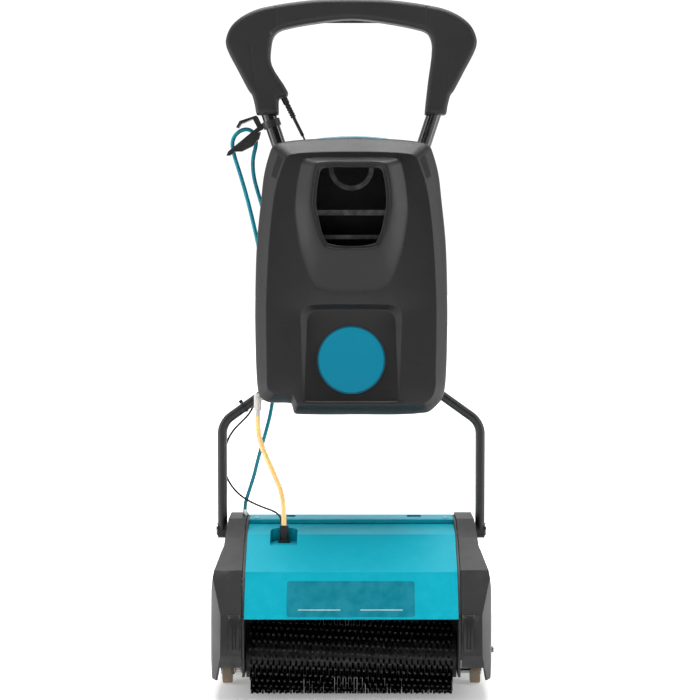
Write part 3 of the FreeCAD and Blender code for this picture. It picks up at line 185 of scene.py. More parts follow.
def build_grain_group():
    """Spark-eroded mould grain: a fine pebbled height and a slow, large mottle."""
    tree, entry, leave = new_group("Moulded grain", [("Scale", 900.0), ("Stretch", 1.0)],
                                   ["Height", "Mottle"])
    place = add(tree, "TexCoord").outputs["Object"]
    stretch = add(tree, "CombineXYZ", X=entry.outputs["Stretch"], Y=1.0, Z=1.0).outputs[0]
    scaled = add(tree, "VectorMath", {"operation": "MULTIPLY"})
    tree.links.new(place, scaled.inputs[0])
    tree.links.new(stretch, scaled.inputs[1])
    pebble = add(tree, "TexVoronoi", {"feature": "SMOOTH_F1"}, Vector=scaled.outputs[0],
                 Scale=entry.outputs["Scale"])
    fine = add(tree, "TexNoise", Vector=scaled.outputs[0], Scale=entry.outputs["Scale"], Detail=3.0)
    height = sums(tree, "ADD", pebble.outputs["Distance"], fine.outputs[0])
    slow = add(tree, "TexNoise", Vector=place, Scale=11.0, Detail=4.0, Roughness=0.6)
    tree.links.new(height, leave.inputs["Height"])
    tree.links.new(ranged(tree, slow.outputs[0], 0.3, 0.7, 0.0, 1.0), leave.inputs["Mottle"])
    return tree


def build_wear_group():
    """Rubbed corners, and dust that settles on what faces up."""
    tree, entry, leave = new_group("Rub and dust", [("Rub", 0.5), ("Dust", 0.3)], ["Rub", "Dust"])
    surface = add(tree, "NewGeometry")
    place = add(tree, "TexCoord").outputs["Object"]
    patches = add(tree, "TexNoise", Vector=place, Scale=55.0, Detail=5.0).outputs[0]
    edge = ranged(tree, surface.outputs["Pointiness"], 0.53, 0.62, 0.0, 1.0)
    edge = sums(tree, "MULTIPLY", edge, ranged(tree, patches, 0.38, 0.62, 0.0, 1.0))
    up = add(tree, "SeparateXYZ", Vector=surface.outputs["Normal"]).outputs["Z"]
    settled = sums(tree, "MULTIPLY", ranged(tree, up, 0.2, 1.0, 0.0, 1.0),
                   ranged(tree, patches, 0.3, 0.75, 0.2, 1.0))
    tree.links.new(sums(tree, "MULTIPLY", edge, entry.outputs["Rub"]), leave.inputs["Rub"])
    tree.links.new(sums(tree, "MULTIPLY", settled, entry.outputs["Dust"]), leave.inputs["Dust"])
    return tree


GRAIN = build_grain_group()
WEAR = build_wear_group()


def start_material(name, grain, stretch, rub, dust):
    """A material with the shared groups placed in it and a Principled shader of its own."""
    material = bpy.data.materials.new(name)
    material.use_nodes = True
    tree = material.node_tree
    shader = tree.nodes["Principled BSDF"]
    grained = add(tree, "Group", {"node_tree": GRAIN}, Scale=grain, Stretch=stretch)
    worn = add(tree, "Group", {"node_tree": WEAR}, Rub=rub, Dust=dust)
    return material, tree, shader, grained, worn


def bump(tree, shader, height, strength, distance):
    made = add(tree, "Bump", Height=height, Strength=strength, Distance=distance)
    tree.links.new(made.outputs["Normal"], shader.inputs["Normal"])


def colour_surface(tree, shader, grained, worn, colour, shade, rubbed, rough, rough_spread):
    """Base colour that varies with the mottle, pales where rubbed and greys where dusty."""
    deep = tuple(channel * shade for channel in colour[:3]) + (1.0,)
    base = mixed(tree, grained.outputs["Mottle"], deep, colour)
    base = mixed(tree, worn.outputs["Rub"], base, rubbed)
    base = mixed(tree, worn.outputs["Dust"], base, paint(176, 172, 164))
    tree.links.new(base, shader.inputs["Base Color"])
    roughness = ranged(tree, grained.outputs["Mottle"], 0.0, 1.0, rough - rough_spread,
                       rough + rough_spread)
    tree.links.new(roughness, shader.inputs["Roughness"])


def textured_plastic(name, colour, rough=0.5, grain=800.0, depth=0.35, rubbed=(120, 118, 116)):
    """Injection-moulded plastic with a spark-eroded grain."""
    material, tree, shader, grained, worn = start_material(name, grain, 1.0, 0.22, 0.012)
    shader.inputs["Specular IOR Level"].default_value = 0.32
    colour_surface(tree, shader, grained, worn, paint(*colour), 0.84, paint(*rubbed), rough, 0.05)
    bump(tree, shader, grained.outputs["Height"], depth, 0.0004)
    return material


def glossy_plastic(name, colour, rough=0.22, coat=0.25):
    """Smooth coloured plastic with a faint orange-peel and fine handling marks."""
    material, tree, shader, grained, worn = start_material(name, 160.0, 1.0, 0.2, 0.008)
    shader.inputs["Specular IOR Level"].default_value = 0.08
    pale = tuple(min(255, channel + 60) for channel in colour)
    colour_surface(tree, shader, grained, worn, paint(*colour), 0.95, paint(*pale), rough, 0.05)
    bump(tree, shader, grained.outputs["Height"], 0.05, 0.0006)
    shader.inputs["Coat Weight"].default_value = coat
    shader.inputs["Coat Roughness"].default_value = 0.12
    return material


def painted_steel(name, colour, rough, depth, coat=0.0):
    """Powder coat or enamel over steel, chipped bright on its corners."""
    material, tree, shader, grained, worn = start_material(name, 520.0, 1.0, 0.3, 0.012)
    shader.inputs["Specular IOR Level"].default_value = 0.4
    colour_surface(tree, shader, grained, worn, paint(*colour), 0.86, paint(112, 110, 106), rough, 0.04)
    bump(tree, shader, grained.outputs["Height"], depth, 0.0004)
    shader.inputs["Coat Weight"].default_value = coat
    shader.inputs["Coat Roughness"].default_value = 0.1
    return material


def bare_metal(name, colour, rough=0.3, stretch=0.04):
    """Turned or milled metal with fine marks drawn out along the part."""
    material, tree, shader, grained, worn = start_material(name, 1500.0, stretch, 0.4, 0.03)
    colour_surface(tree, shader, grained, worn, paint(*colour), 0.8, paint(232, 230, 226), rough, 0.09)
    bump(tree, shader, grained.outputs["Height"], 0.12, 0.0002)
    shader.inputs["Metallic"].default_value = 1.0
    return material


def soft_rubber(name, colour, rough=0.7):
    material, tree, shader, grained, worn = start_material(name, 420.0, 1.0, 0.4, 0.05)
    colour_surface(tree, shader, grained, worn, paint(*colour), 0.8, paint(104, 102, 100), rough, 0.07)
    bump(tree, shader, grained.outputs["Height"], 0.25, 0.0005)
    return material


def nylon_part(name, colour):
    """Self-coloured nylon: milky, with a little light going in."""
    material, tree, shader, grained, worn = start_material(name, 300.0, 1.0, 0.2, 0.05)
    colour_surface(tree, shader, grained, worn, paint(*colour), 0.88, paint(246, 244, 236), 0.4, 0.06)
    bump(tree, shader, grained.outputs["Height"], 0.1, 0.0004)
    shader.inputs["Subsurface Weight"].default_value = 0.15
    shader.inputs["Subsurface Scale"].default_value = 0.002
    return material


def bristle_nylon(name, axis_y, axis_z, tip_radius):
    """Black nylon filament, paler over the last few millimetres towards the tips."""
    material, tree, shader, grained, _ = start_material(name, 600.0, 1.0, 0.0, 0.0)
    place = add(tree, "TexCoord").outputs["Object"]
    parts = add(tree, "SeparateXYZ", Vector=place)
    across = sums(tree, "SUBTRACT", parts.outputs["Y"], axis_y)
    upward = sums(tree, "SUBTRACT", parts.outputs["Z"], axis_z)
    square = sums(tree, "ADD", sums(tree, "POWER", across, 2.0), sums(tree, "POWER", upward, 2.0))
    radius = sums(tree, "SQRT", square, 0.0)
    tip = ranged(tree, radius, tip_radius - 0.0016, tip_radius - 0.0004, 0.0, 1.0)
    body = mixed(tree, grained.outputs["Mottle"], paint(3, 3, 4), paint(8, 8, 9))
    tree.links.new(mixed(tree, tip, body, paint(104, 106, 108)), shader.inputs["Base Color"])
    shader.inputs["Specular IOR Level"].default_value = 0.25
    tree.links.new(ranged(tree, tip, 0.0, 1.0, 0.34, 0.6), shader.inputs["Roughness"])
    return material


def cable_sheath(name, colour, rough=0.38):
    """Extruded cable sheath with faint ripples round it and scuffs."""
    material, tree, shader, grained, worn = start_material(name, 260.0, 1.0, 0.2, 0.02)
    shader.inputs["Specular IOR Level"].default_value = 0.3
    pale = tuple(min(255, channel + 50) for channel in colour)
    colour_surface(tree, shader, grained, worn, paint(*colour), 0.82, paint(*pale), rough, 0.06)
    bump(tree, shader, grained.outputs["Height"], 0.12, 0.0004)
    return material


def hose_vinyl(name, colour):
    """Milky yellow vinyl tube."""
    material, tree, shader, grained, worn = start_material(name, 120.0, 1.0, 0.2, 0.05)
    colour_surface(tree, shader, grained, worn, paint(*colour), 0.82, paint(255, 250, 232), 0.2, 0.04)
    bump(tree, shader, grained.outputs["Height"], 0.05, 0.0006)
    shader.inputs["Subsurface Weight"].default_value = 0.35
    shader.inputs["Subsurface Scale"].default_value = 0.004
    shader.inputs["Coat Weight"].default_value = 0.4
    shader.inputs["Coat Roughness"].default_value = 0.08
    return material


def badge_foil(name, centre_z, radius):
    """Printed teal foil, a shade lighter towards its top, with a dark printed rim."""
    material, tree, shader, grained, _ = start_material(name, 900.0, 1.0, 0.1, 0.01)
    shader.inputs["Specular IOR Level"].default_value = 0.2
    place = add(tree, "TexCoord").outputs["Object"]
    parts = add(tree, "SeparateXYZ", Vector=place)
    rise = ranged(tree, parts.outputs["Z"], centre_z - radius, centre_z + radius, 0.0, 1.0)
    field = mixed(tree, rise, paint(0, 112, 138), paint(0, 120, 146))
    upward = sums(tree, "SUBTRACT", parts.outputs["Z"], centre_z)
    square = sums(tree, "ADD", sums(tree, "POWER", parts.outputs["X"], 2.0),
                  sums(tree, "POWER", upward, 2.0))
    distance = sums(tree, "SQRT", square, 0.0)
    rim = ranged(tree, distance, radius - 0.0032, radius - 0.0026, 0.0, 1.0)
    tree.links.new(mixed(tree, rim, field, paint(6, 74, 92)), shader.inputs["Base Color"])
    roughness = ranged(tree, grained.outputs["Mottle"], 0.0, 1.0, 0.3, 0.4)
    tree.links.new(roughness, shader.inputs["Roughness"])
    bump(tree, shader, grained.outputs["Height"], 0.04, 0.0003)
    return material


def floor_paper():
    """Seamless white paper that glows more the further it runs from the object."""
    material = bpy.data.materials.new("studio_floor")
    material.use_nodes = True
    tree = material.node_tree
    shader = tree.nodes["Principled BSDF"]
    place = add(tree, "TexCoord").outputs["Object"]
    away = add(tree, "VectorMath", {"operation": "LENGTH"})
    tree.links.new(place, away.inputs[0])
    glow = ranged(tree, away.outputs["Value"], 0.7, 2.6, 0.28, 1.1)
    tree.links.new(glow, shader.inputs["Emission Strength"])
    shader.inputs["Base Color"].default_value = paint(236, 236, 236)
    shader.inputs["Roughness"].default_value = 1.0
    shader.inputs["Specular IOR Level"].default_value = 0.0
    shader.inputs["Emission Color"].default_value = (1, 1, 1, 1)
    return material


FINISH = {
    "teal_cover": glossy_plastic("teal_cover", (0, 152, 172), 0.4, 0.0),
    "tank_teal": glossy_plastic("tank_teal", (0, 146, 166), 0.4, 0.0),
    "pod_grey": textured_plastic("pod_grey", (31, 31, 32), 0.52),
    "latch_grey": textured_plastic("latch_grey", (14, 14, 15), 0.4, 900.0, 0.2),
    "core_black": textured_plastic("core_black", (18, 18, 19), 0.45, 700.0, 0.2),
    "gear_nylon": nylon_part("gear_nylon", (225, 222, 212)),
    "frame_aluminium": painted_steel("frame_aluminium", (26, 26, 27), 0.5, 0.1),
    "steel_bright": bare_metal("steel_bright", (182, 182, 184), 0.25),
    "motor_paint": painted_steel("motor_paint", (60, 62, 66), 0.4, 0.2),
    "belt_rubber": soft_rubber("belt_rubber", (26, 26, 26)),
    "bearing_bronze": bare_metal("bearing_bronze", (196, 154, 92), 0.3),
    "roller_nylon": nylon_part("roller_nylon", (140, 124, 102)),
    "wheel_rubber": soft_rubber("wheel_rubber", (52, 52, 54)),
    "yoke_paint": painted_steel("yoke_paint", (22, 22, 23), 0.42, 0.35),
    "tube_paint": painted_steel("tube_paint", (13, 13, 14), 0.2, 0.08, 0.3),
    "grip_plastic": textured_plastic("grip_plastic", (26, 25, 26), 0.5, 850.0, 0.3),
    "button_red": glossy_plastic("button_red", (224, 62, 50), 0.25, 0.3),
    "tank_black": textured_plastic("tank_black", (15, 14, 15), 0.42, 620.0, 0.4),
    "tap_white": nylon_part("tap_white", (196, 190, 184)),
    "black_plastic": textured_plastic("black_plastic", (20, 20, 21), 0.42, 900.0, 0.2),
    "hose_yellow": hose_vinyl("hose_yellow", (250, 206, 128)),
    "cable_teal": cable_sheath("cable_teal", (0, 128, 146)),
    "cable_black": cable_sheath("cable_black", (18, 18, 19)),
    "bracket_paint": painted_steel("bracket_paint", (28, 28, 29), 0.42, 0.3),
    "lead_sleeve": bare_metal("lead_sleeve", (196, 198, 200), 0.28),
}
# The tank's inside is its black plastic made darker: painted shade in the hollow.
TANK_INSIDE_SHADE = textured_plastic("tank_inside_shade", (8, 8, 9), 0.7, 500.0, 0.2)


# ---- Mesh helpers ----
def finished(name, shape, body, slot, material=None, stands_for=(), angle=32):
    """A piece made from a bmesh: smoothed, painted, named, and riding on its body."""
    mesh = bpy.data.meshes.new(name)
    shape.to_mesh(mesh)
    shape.free()
    mesh.shade_smooth()
    mesh.set_sharp_from_angle(angle=math.radians(angle))
    made = bpy.data.objects.new(name, mesh)
    bpy.context.scene.collection.objects.link(made)
    made.data.materials.append(material or FINISH[slot])
    if body:
        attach(made, body)
    if stands_for:
        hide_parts(*stands_for)
    return made


WELD = 2e-6                  # metres
FLAT_ANGLE = 0.6             # degrees; facets nearer than this to one plane are joined
FOLD_LENGTH = 0.014          # metres; shorter edges are curve facets, not folds
FOLD_ANGLES = (5, 50)        # degrees


def softened(node, edge_mm, crease_mm=0.0, angle=30):
    """A copy of a part with its long folds rounded broadly and its edges rounded finely."""
    source = frame["nodes"][node]
    shape = bmesh.new()
    shape.from_mesh(source.data)
    bmesh.ops.remove_doubles(shape, verts=shape.verts, dist=WELD)
    bmesh.ops.dissolve_limit(shape, angle_limit=math.radians(FLAT_ANGLE), verts=shape.verts,
                             edges=shape.edges, delimit=set())
    if crease_mm:
        folds = []
        for edge in shape.edges:
            if len(edge.link_faces) == 2 and edge.calc_length() > FOLD_LENGTH:
                turn = math.degrees(edge.calc_face_angle(0.0))
                if FOLD_ANGLES[0] < turn < FOLD_ANGLES[1]:
                    folds.append(edge)
        bmesh.ops.bevel(shape, geom=folds, offset=crease_mm * MM, segments=4, profile=0.5,
                        affect="EDGES", clamp_overlap=True)
    mesh = bpy.data.meshes.new(node + "_start")
    shape.to_mesh(mesh)
    shape.free()
    mesh.shade_smooth()
    rough = bpy.data.objects.new(node + "_start", mesh)
    bpy.context.scene.collection.objects.link(rough)
    bevel = rough.modifiers.new("bevel", "BEVEL")
    bevel.width = edge_mm * MM
    bevel.segments = 2
    bevel.limit_method = "ANGLE"
    bevel.angle_limit = math.radians(angle)
    bevel.use_clamp_overlap = True
    weigh = rough.modifiers.new("weigh", "WEIGHTED_NORMAL")
    weigh.keep_sharp = True
    depsgraph = bpy.context.evaluated_depsgraph_get()
    final = bpy.data.meshes.new_from_object(rough.evaluated_get(depsgraph))
    bpy.data.objects.remove(rough)
    final.name = node + "_shown"
    made = bpy.data.objects.new(node + "_shown", final)
    bpy.context.scene.collection.objects.link(made)
    made.data.materials.clear()
    made.data.materials.append(FINISH[SLOT_OF[node]])
    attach(made, source["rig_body"])
    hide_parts(node)
    return made


def spline_loop(points, steps):
    """A smooth closed line through the points, with the same number of steps in each span."""
    count = len(points)
    line = []
    for index in range(count):
        p0, p1, p2, p3 = [Vector(points[(index + shift) % count]) for shift in (-1, 0, 1, 2)]
        chord = (p2 - p1).length
        lead = (p2 - p0) * (chord / max((p1 - p0).length + chord, 1e-6))
        trail = (p3 - p1) * (chord / max((p3 - p2).length + chord, 1e-6))
        for step in range(steps):
            t = step / steps
            line.append((2 * t ** 3 - 3 * t ** 2 + 1) * p1 + (t ** 3 - 2 * t ** 2 + t) * lead
                        + (3 * t ** 2 - 2 * t ** 3) * p2 + (t ** 3 - t ** 2) * trail)
    return line


def whole(half):
    """A closed symmetric outline from its right half, top to bottom."""
    return half + [(-x, z) for x, z in reversed(half) if x > 0]


def inset(loop, distance):
    """A clockwise closed line moved inwards along its normals."""
    moved = []
    for index, point in enumerate(loop):
        along = loop[(index + 1) % len(loop)] - loop[index - 1]
        normal = Vector((along.y, -along.x))
        moved.append(point - normal.normalized() * -distance if normal.length else point.copy())
    return moved


def between(first, second, share):
    return [a.lerp(b, share) for a, b in zip(first, second)]


def ring(shape, loop, depth):
    """A loop of vertices at a depth, which is a number or a function of height, in mm."""
    verts = []
    for point in loop:
        y = depth(point.y) if callable(depth) else depth
        verts.append(shape.verts.new((point.x * MM, y * MM, point.y * MM)))
    return verts


def bridge(shape, first, second):
    """Four-sided faces between two rings of the same length."""
    count = len(first)
    for index in range(count):
        after = (index + 1) % count
        shape.faces.new((first[index], first[after], second[after], second[index]))


def bridge_all(shape, rings):
    for first, second in zip(rings, rings[1:]):
        bridge(shape, first, second)


def cap_both(shape, first, last):
    """Faces over both ends of a row of rings."""
    shape.faces.new(last)
    shape.faces.new(list(reversed(first)))


def fill(shape, rings):
    """A flat face inside the first ring and outside the others."""
    edges = []
    for verts in rings:
        for index, vert in enumerate(verts):
            edge = shape.edges.get((vert, verts[index - 1]))
            edges.append(edge or shape.edges.new((vert, verts[index - 1])))
    return bmesh.ops.triangle_fill(shape, use_beauty=True, use_dissolve=False, edges=edges)


# ---- Cords ----
HOSE_ROUTE = [(-160, -40, 466), (-160, -40, 448), (-157.3, -40.2, 427), (-149.5, -40.5, 405),
              (-140.5, -41, 385), (-130.5, -42, 363), (-121.5, -43, 342), (-116.8, -44, 321),
              (-115.4, -45, 300), (-115.4, -45, 279)]
LEAD_ROUTE = [(-50, 46, 642), (-70, 46, 642), (-94, 49, 632), (-111, 54, 602), (-123, 55.5, 562),
              (-132, 53, 524), (-137, 47, 492), (-141, 42, 466), (-146.5, 38, 443),
              (-153, 36, 420), (-159.5, 35, 398), (-165, 34.4, 377), (-170, 34, 356),
              (-176.5, 33.4, 336), (-182.3, 33.1, 318), (-185.6, 33, 306.5), (-186, 33, 297.2)]
CONTROL_ROUTE = [(-84.03, 38, 948.06), (-77, 38.6, 934), (-71, 42, 906), (-70, 49, 870), (-77, 55, 828),
                 (-89, 57.5, 776), (-102, 58.2, 724), (-115, 58, 670), (-129, 57, 616),
                 (-143, 55, 562), (-156, 52, 518), (-167, 47.5, 486), (-178, 37, 464),
                 (-192, 31, 450), (-206, 36, 436), (-217, 46, 418), (-223, 53, 396),
                 (-225, 55, 372), (-219, 51, 350), (-207, 42, 332), (-190, 31, 318),
                 (-171, 21, 309), (-152, 7, 303), (-138, -9, 300.5), (-127, -24.5, 297),
                 (-120.5, -35.5, 290.5), (-119, -39.3, 279.6)]
MAINS_ROUTE = [(-64, 40, 616), (-84, 40, 616), (-109, 42, 626), (-131, 45.5, 652), (-147, 49, 692),
               (-158, 51, 738), (-169, 52, 788), (-181, 52.5, 838), (-195, 52.5, 886),
               (-205.5, 52.5, 918), (-208.5, 52.5, 940), (-198.5, 52.5, 956), (-181, 52.5, 962),
               (-167, 53, 953), (-165.5, 54, 934), (-172.5, 56, 910), (-171.5, 60, 880),
               (-163, 66, 848), (-154, 72, 818), (-149, 76, 796)]
PLUG_ENTRY = (143, 108, 670)
COIL_Z = 745
COIL_TALLER = 49             # how much higher than wide each turn is, from the middle
COIL_SQUARENESS = 3.2
TURN_STEPS = 24
# Half width and depth of each turn, from the first one on.
TURNS = [(154, 78), (146.3, 78.4), (138.4, 78), (138.2, 86.6), (146, 87), (154, 87.2),
         (153.8, 95.6), (146, 96), (152, 96)]
LAST_STEPS = 9               # the last turn ends where the cable leaves for the plug
PLUG_APPROACH = [(139, 99, 612), (141.5, 103.5, 634), (143, 107, 652), PLUG_ENTRY]
MAINS_DIAMETER = 7.3
CROSSING_FROM = 0.7          # share of a turn after which it crosses over to the next


def coil_points():
    """The wound turns, each a rounded oblong that goes down the left and up the right side."""
    chance = random.Random(7)
    points = []
    for turn, (radius, depth) in enumerate(TURNS):
        after_radius, after_depth = TURNS[min(turn + 1, len(TURNS) - 1)]
        last = turn == len(TURNS) - 1
        for step in range(LAST_STEPS if last else TURN_STEPS):
            share = step / TURN_STEPS
            crossing = min(max((share - CROSSING_FROM) / (1 - CROSSING_FROM), 0.0), 1.0)
            reach = radius + (after_radius - radius) * crossing + chance.uniform(-0.7, 0.7)
            y = depth + (after_depth - depth) * crossing + chance.uniform(-0.5, 0.5)
            angle = math.pi + 2 * math.pi * share
            across = math.copysign(abs(math.cos(angle)) ** (2 / COIL_SQUARENESS), math.cos(angle))
            upward = math.copysign(abs(math.sin(angle)) ** (2 / COIL_SQUARENESS), math.sin(angle))
            if abs(math.sin(angle)) < 1e-6:
                upward = 0
            points.append((reach * across, y, COIL_Z + (reach + COIL_TALLER) * upward))
    return points


def route_curve(name, route):
    curve = bpy.data.curves.new(name, "CURVE")
    curve.dimensions = "3D"
    curve.resolution_u = 8
    spline = curve.splines.new("NURBS")
    spline.points.add(len(route) - 1)
    for point, (x, y, z) in zip(spline.points, route):
        point.co = (x * MM, y * MM, z * MM, 1)
    spline.order_u = 3
    spline.use_endpoint_u = True
    made = bpy.data.objects.new(name, curve)
    bpy.context.scene.collection.objects.link(made)
    return made


def route_line(route):
    """The points that the route's own spline runs through."""
    guide = route_curve("guide", route)
    depsgraph = bpy.context.evaluated_depsgraph_get()
    mesh = bpy.data.meshes.new_from_object(guide.evaluated_get(depsgraph))
    line = [vert.co.copy() for vert in mesh.vertices]
    bpy.data.objects.remove(guide)
    bpy.data.meshes.remove(mesh)
    return line


SHEATH_SIDES = 14


def sheathed_tube(name, route, diameter, slot, node, top, foot, **facts):
    """A cord between the handle and the head."""
    line = route_line(route)
    shape = bmesh.new()
    previous = None
    across = Vector((0, 1, 0))
    for index, point in enumerate(line):
        heading = line[min(index + 1, len(line) - 1)] - line[max(index - 1, 0)]
        heading.normalize()
        across = (across - heading * across.dot(heading)).normalized()
        up = heading.cross(across)
        verts = []
        for side in range(SHEATH_SIDES):
            angle = 2 * math.pi * side / SHEATH_SIDES
            spoke = across * math.cos(angle) + up * math.sin(angle)
            verts.append(shape.verts.new(point + spoke * diameter * MM / 2))
        if previous:
            bridge(shape, previous, verts)
        else:
            shape.faces.new(list(reversed(verts)))
        previous = verts
    shape.faces.new(previous)
    bmesh.ops.recalc_face_normals(shape, faces=shape.faces)
    made = finished(name, shape, None, slot, stands_for=(node,), angle=60)
    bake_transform(made)
    return made


def build_cords(shown):
    sheathed_tube("solution_hose_tube", HOSE_ROUTE, 9.0, "hose_yellow", "solution_hose",
                  top=(0, 0, 0.455), foot=(0, 0, 0.290), length=0.195,
                  stiffness="medium", lay="hanging")
    sheathed_tube("motor_lead_sheath", LEAD_ROUTE, 6.5, "cable_teal", "motor_lead",
                  top=(0, 0, 0.450), foot=(0, 0, 0.300), length=0.396,
                  stiffness="medium", lay="hanging")
    sheathed_tube("control_cable_sheath", CONTROL_ROUTE, 3.5, "cable_black", "control_cable",
                  top=(0, 0, 0.450), foot=(0, 0, 0.300), length=0.800,
                  stiffness="medium", lay="hanging",
                  with_pieces=[shown["cable_tie"]])
    mains = route_curve("mains_cable_sheath", MAINS_ROUTE + coil_points() + PLUG_APPROACH)
    mains.data.bevel_depth = MAINS_DIAMETER / 2 * MM
    mains.data.bevel_resolution = 3
    mains.data.use_fill_caps = True
    mains.data.materials.append(FINISH["cable_teal"])
    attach(mains, "handle")
    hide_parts("mains_cable", "mains_coil")


# ---- Brushes ----
TUFTS_ALONG = 36
TUFT_ROWS = 30
BRISTLES = 18
BRUSH_CORE = 0.038           # metres
TUFT_SPREAD = 0.0019         # metres
BRISTLE_RADIUS = 0.00042     # metres
TWIST = 0.13                 # turn of a row from one end of the brush to the other, radians


def build_brush(name, node, body, seed):
    """Rows of tufts, each a small bunch of cut filaments that flares a little outwards."""
    low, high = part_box(node)
    chance = random.Random(seed)
    centre = (low + high) / 2
    radius = (high.z - low.z) / 2
    half = (high.x - low.x) / 2
    pitch = 2 * half / TUFTS_ALONG
    shape = bmesh.new()
    for row in range(TUFT_ROWS):
        for column in range(TUFTS_ALONG):
            x = -half + (column + 0.5 + 0.5 * (row % 2) - 0.25) * pitch
            angle = 2 * math.pi * row / TUFT_ROWS + TWIST * x / half
            lean = chance.uniform(-0.02, 0.02)
            for _ in range(BRISTLES):
                spread = math.sqrt(chance.random()) * TUFT_SPREAD
                way = chance.uniform(0, 2 * math.pi)
                foot = Vector((x + spread * math.cos(way), spread * math.sin(way)))
                flare = 1.12 + chance.uniform(-0.1, 0.16)
                tip_x = min(max(x + flare * (foot.x - x) + lean * 0.02, -half), half)
                tip_side = flare * foot.y
                reach = math.sqrt(max((radius - 0.0004) ** 2 - tip_side ** 2, 0))
                reach -= chance.uniform(0, 0.0005)
                radial = Vector((0, math.cos(angle), math.sin(angle)))
                side = Vector((0, -math.sin(angle), math.cos(angle)))
                start = Vector((foot.x, centre.y, centre.z))
                start = start + radial * (BRUSH_CORE - 0.0005) + side * foot.y
                end = Vector((tip_x, centre.y, centre.z)) + radial * reach + side * tip_side
                add_bristle(shape, start, end, BRISTLE_RADIUS)
    return finished(name, shape, body, "bristle_black",
                    bristle_nylon(name + "_nylon", centre.y, centre.z, radius), (node,), angle=80)


def add_bristle(shape, start, end, radius):
    """One three-sided filament with a closed tip."""
    along = (end - start).normalized()
    across = along.orthogonal().normalized()
    up = along.cross(across)
    feet = []
    tips = []
    for side in range(3):
        turn = 2 * math.pi * side / 3
        spoke = (across * math.cos(turn) + up * math.sin(turn)) * radius
        feet.append(shape.verts.new(start + spoke))
        tips.append(shape.verts.new(end + spoke))
    for side in range(3):
        after = (side + 1) % 3
        shape.faces.new((feet[side], feet[after], tips[after], tips[side]))
    cap_both(shape, feet, tips)


# ---- Solution tank ----
TANK_RIGHT = [(0, 939), (70, 937), (118, 932), (130, 927), (136, 919), (147, 880), (152, 840),
              (160, 760), (163, 662), (163, 615), (161, 540), (157, 506), (148, 490), (126, 474)]
TANK_FOOT_LEFT = [(0, 471), (-90, 471.5), (-97, 474), (-100, 484), (-103, 490), (-138, 491.5),
                  (-149, 496)]
FACE_RIGHT = [(0, 914), (62, 913), (98, 910), (107, 905), (112, 896), (122, 868), (130, 834),
              (138, 760), (143, 662), (143, 615), (142, 545), (141, 518), (134, 501), (116, 491)]
FACE_FOOT_LEFT = [(0, 489), (-84, 489.5), (-91, 492), (-95, 501), (-99, 507), (-128, 508.5),
                  (-136, 513)]
HOOD_HALF = [(0, 905), (76, 903), (86, 893), (96, 825), (92, 780), (82, 734), (58, 688), (0, 681)]
BAND_HALF = [(0, 897), (50, 896), (59, 889), (67, 832), (62, 797), (53, 768), (43, 753.5), (0, 750)]
WINDOW_HALF = [(0, 888), (44, 887), (52, 881), (58.5, 832), (54, 800), (46, 772), (38, 761), (0, 757)]
PANEL_HALF = [(0, 660), (66, 659), (78, 655), (85, 645), (85, 615), (80, 498), (76, 494.5), (0, 494)]
PANEL_FLOOR_HALF = [(0, 649), (57, 648), (67, 644), (73, 635), (74.5, 606), (79, 499), (75, 496.5),
                    (0, 496)]
ROOM_HALF = [(0, 906), (90, 903), (103, 894), (111, 866), (119, 834), (127, 760), (130, 702),
             (122, 684), (0, 681)]
TANK_FACE_Y = -95.0           # the tank's flat front
TANK_SHOULDER = 25.0         # depth of the rounded border round the flat front
HOOD_RISE = 22.0             # how far the hood stands out of it
WINDOW_BACK_Y = -88.0        # inner side of the front wall
ROOM_BACK_Y = 6.0
PANEL_FOOT_Z = 494
PANEL_FOOT_DEPTH = 2.0
PANEL_SLANT = 12.0 / 166.0   # the recess deepens by 12 mm from foot to head
MIRRORED = slice(1, 12)      # outline points of the right side that the left side repeats


def tank_outline(right, foot_left):
    return right + foot_left + [(-x, z) for x, z in reversed(right[MIRRORED])]


def line_room(shape):
    """The inside faces of the tank get its second material, darker with painted shade."""
    for made in shape.faces:
        middle = made.calc_center_median() / MM
        within = -90 < middle.y < 6.1 and 680 < middle.z < 907
        if within and abs(middle.x) < 130.2:
            made.material_index = 1


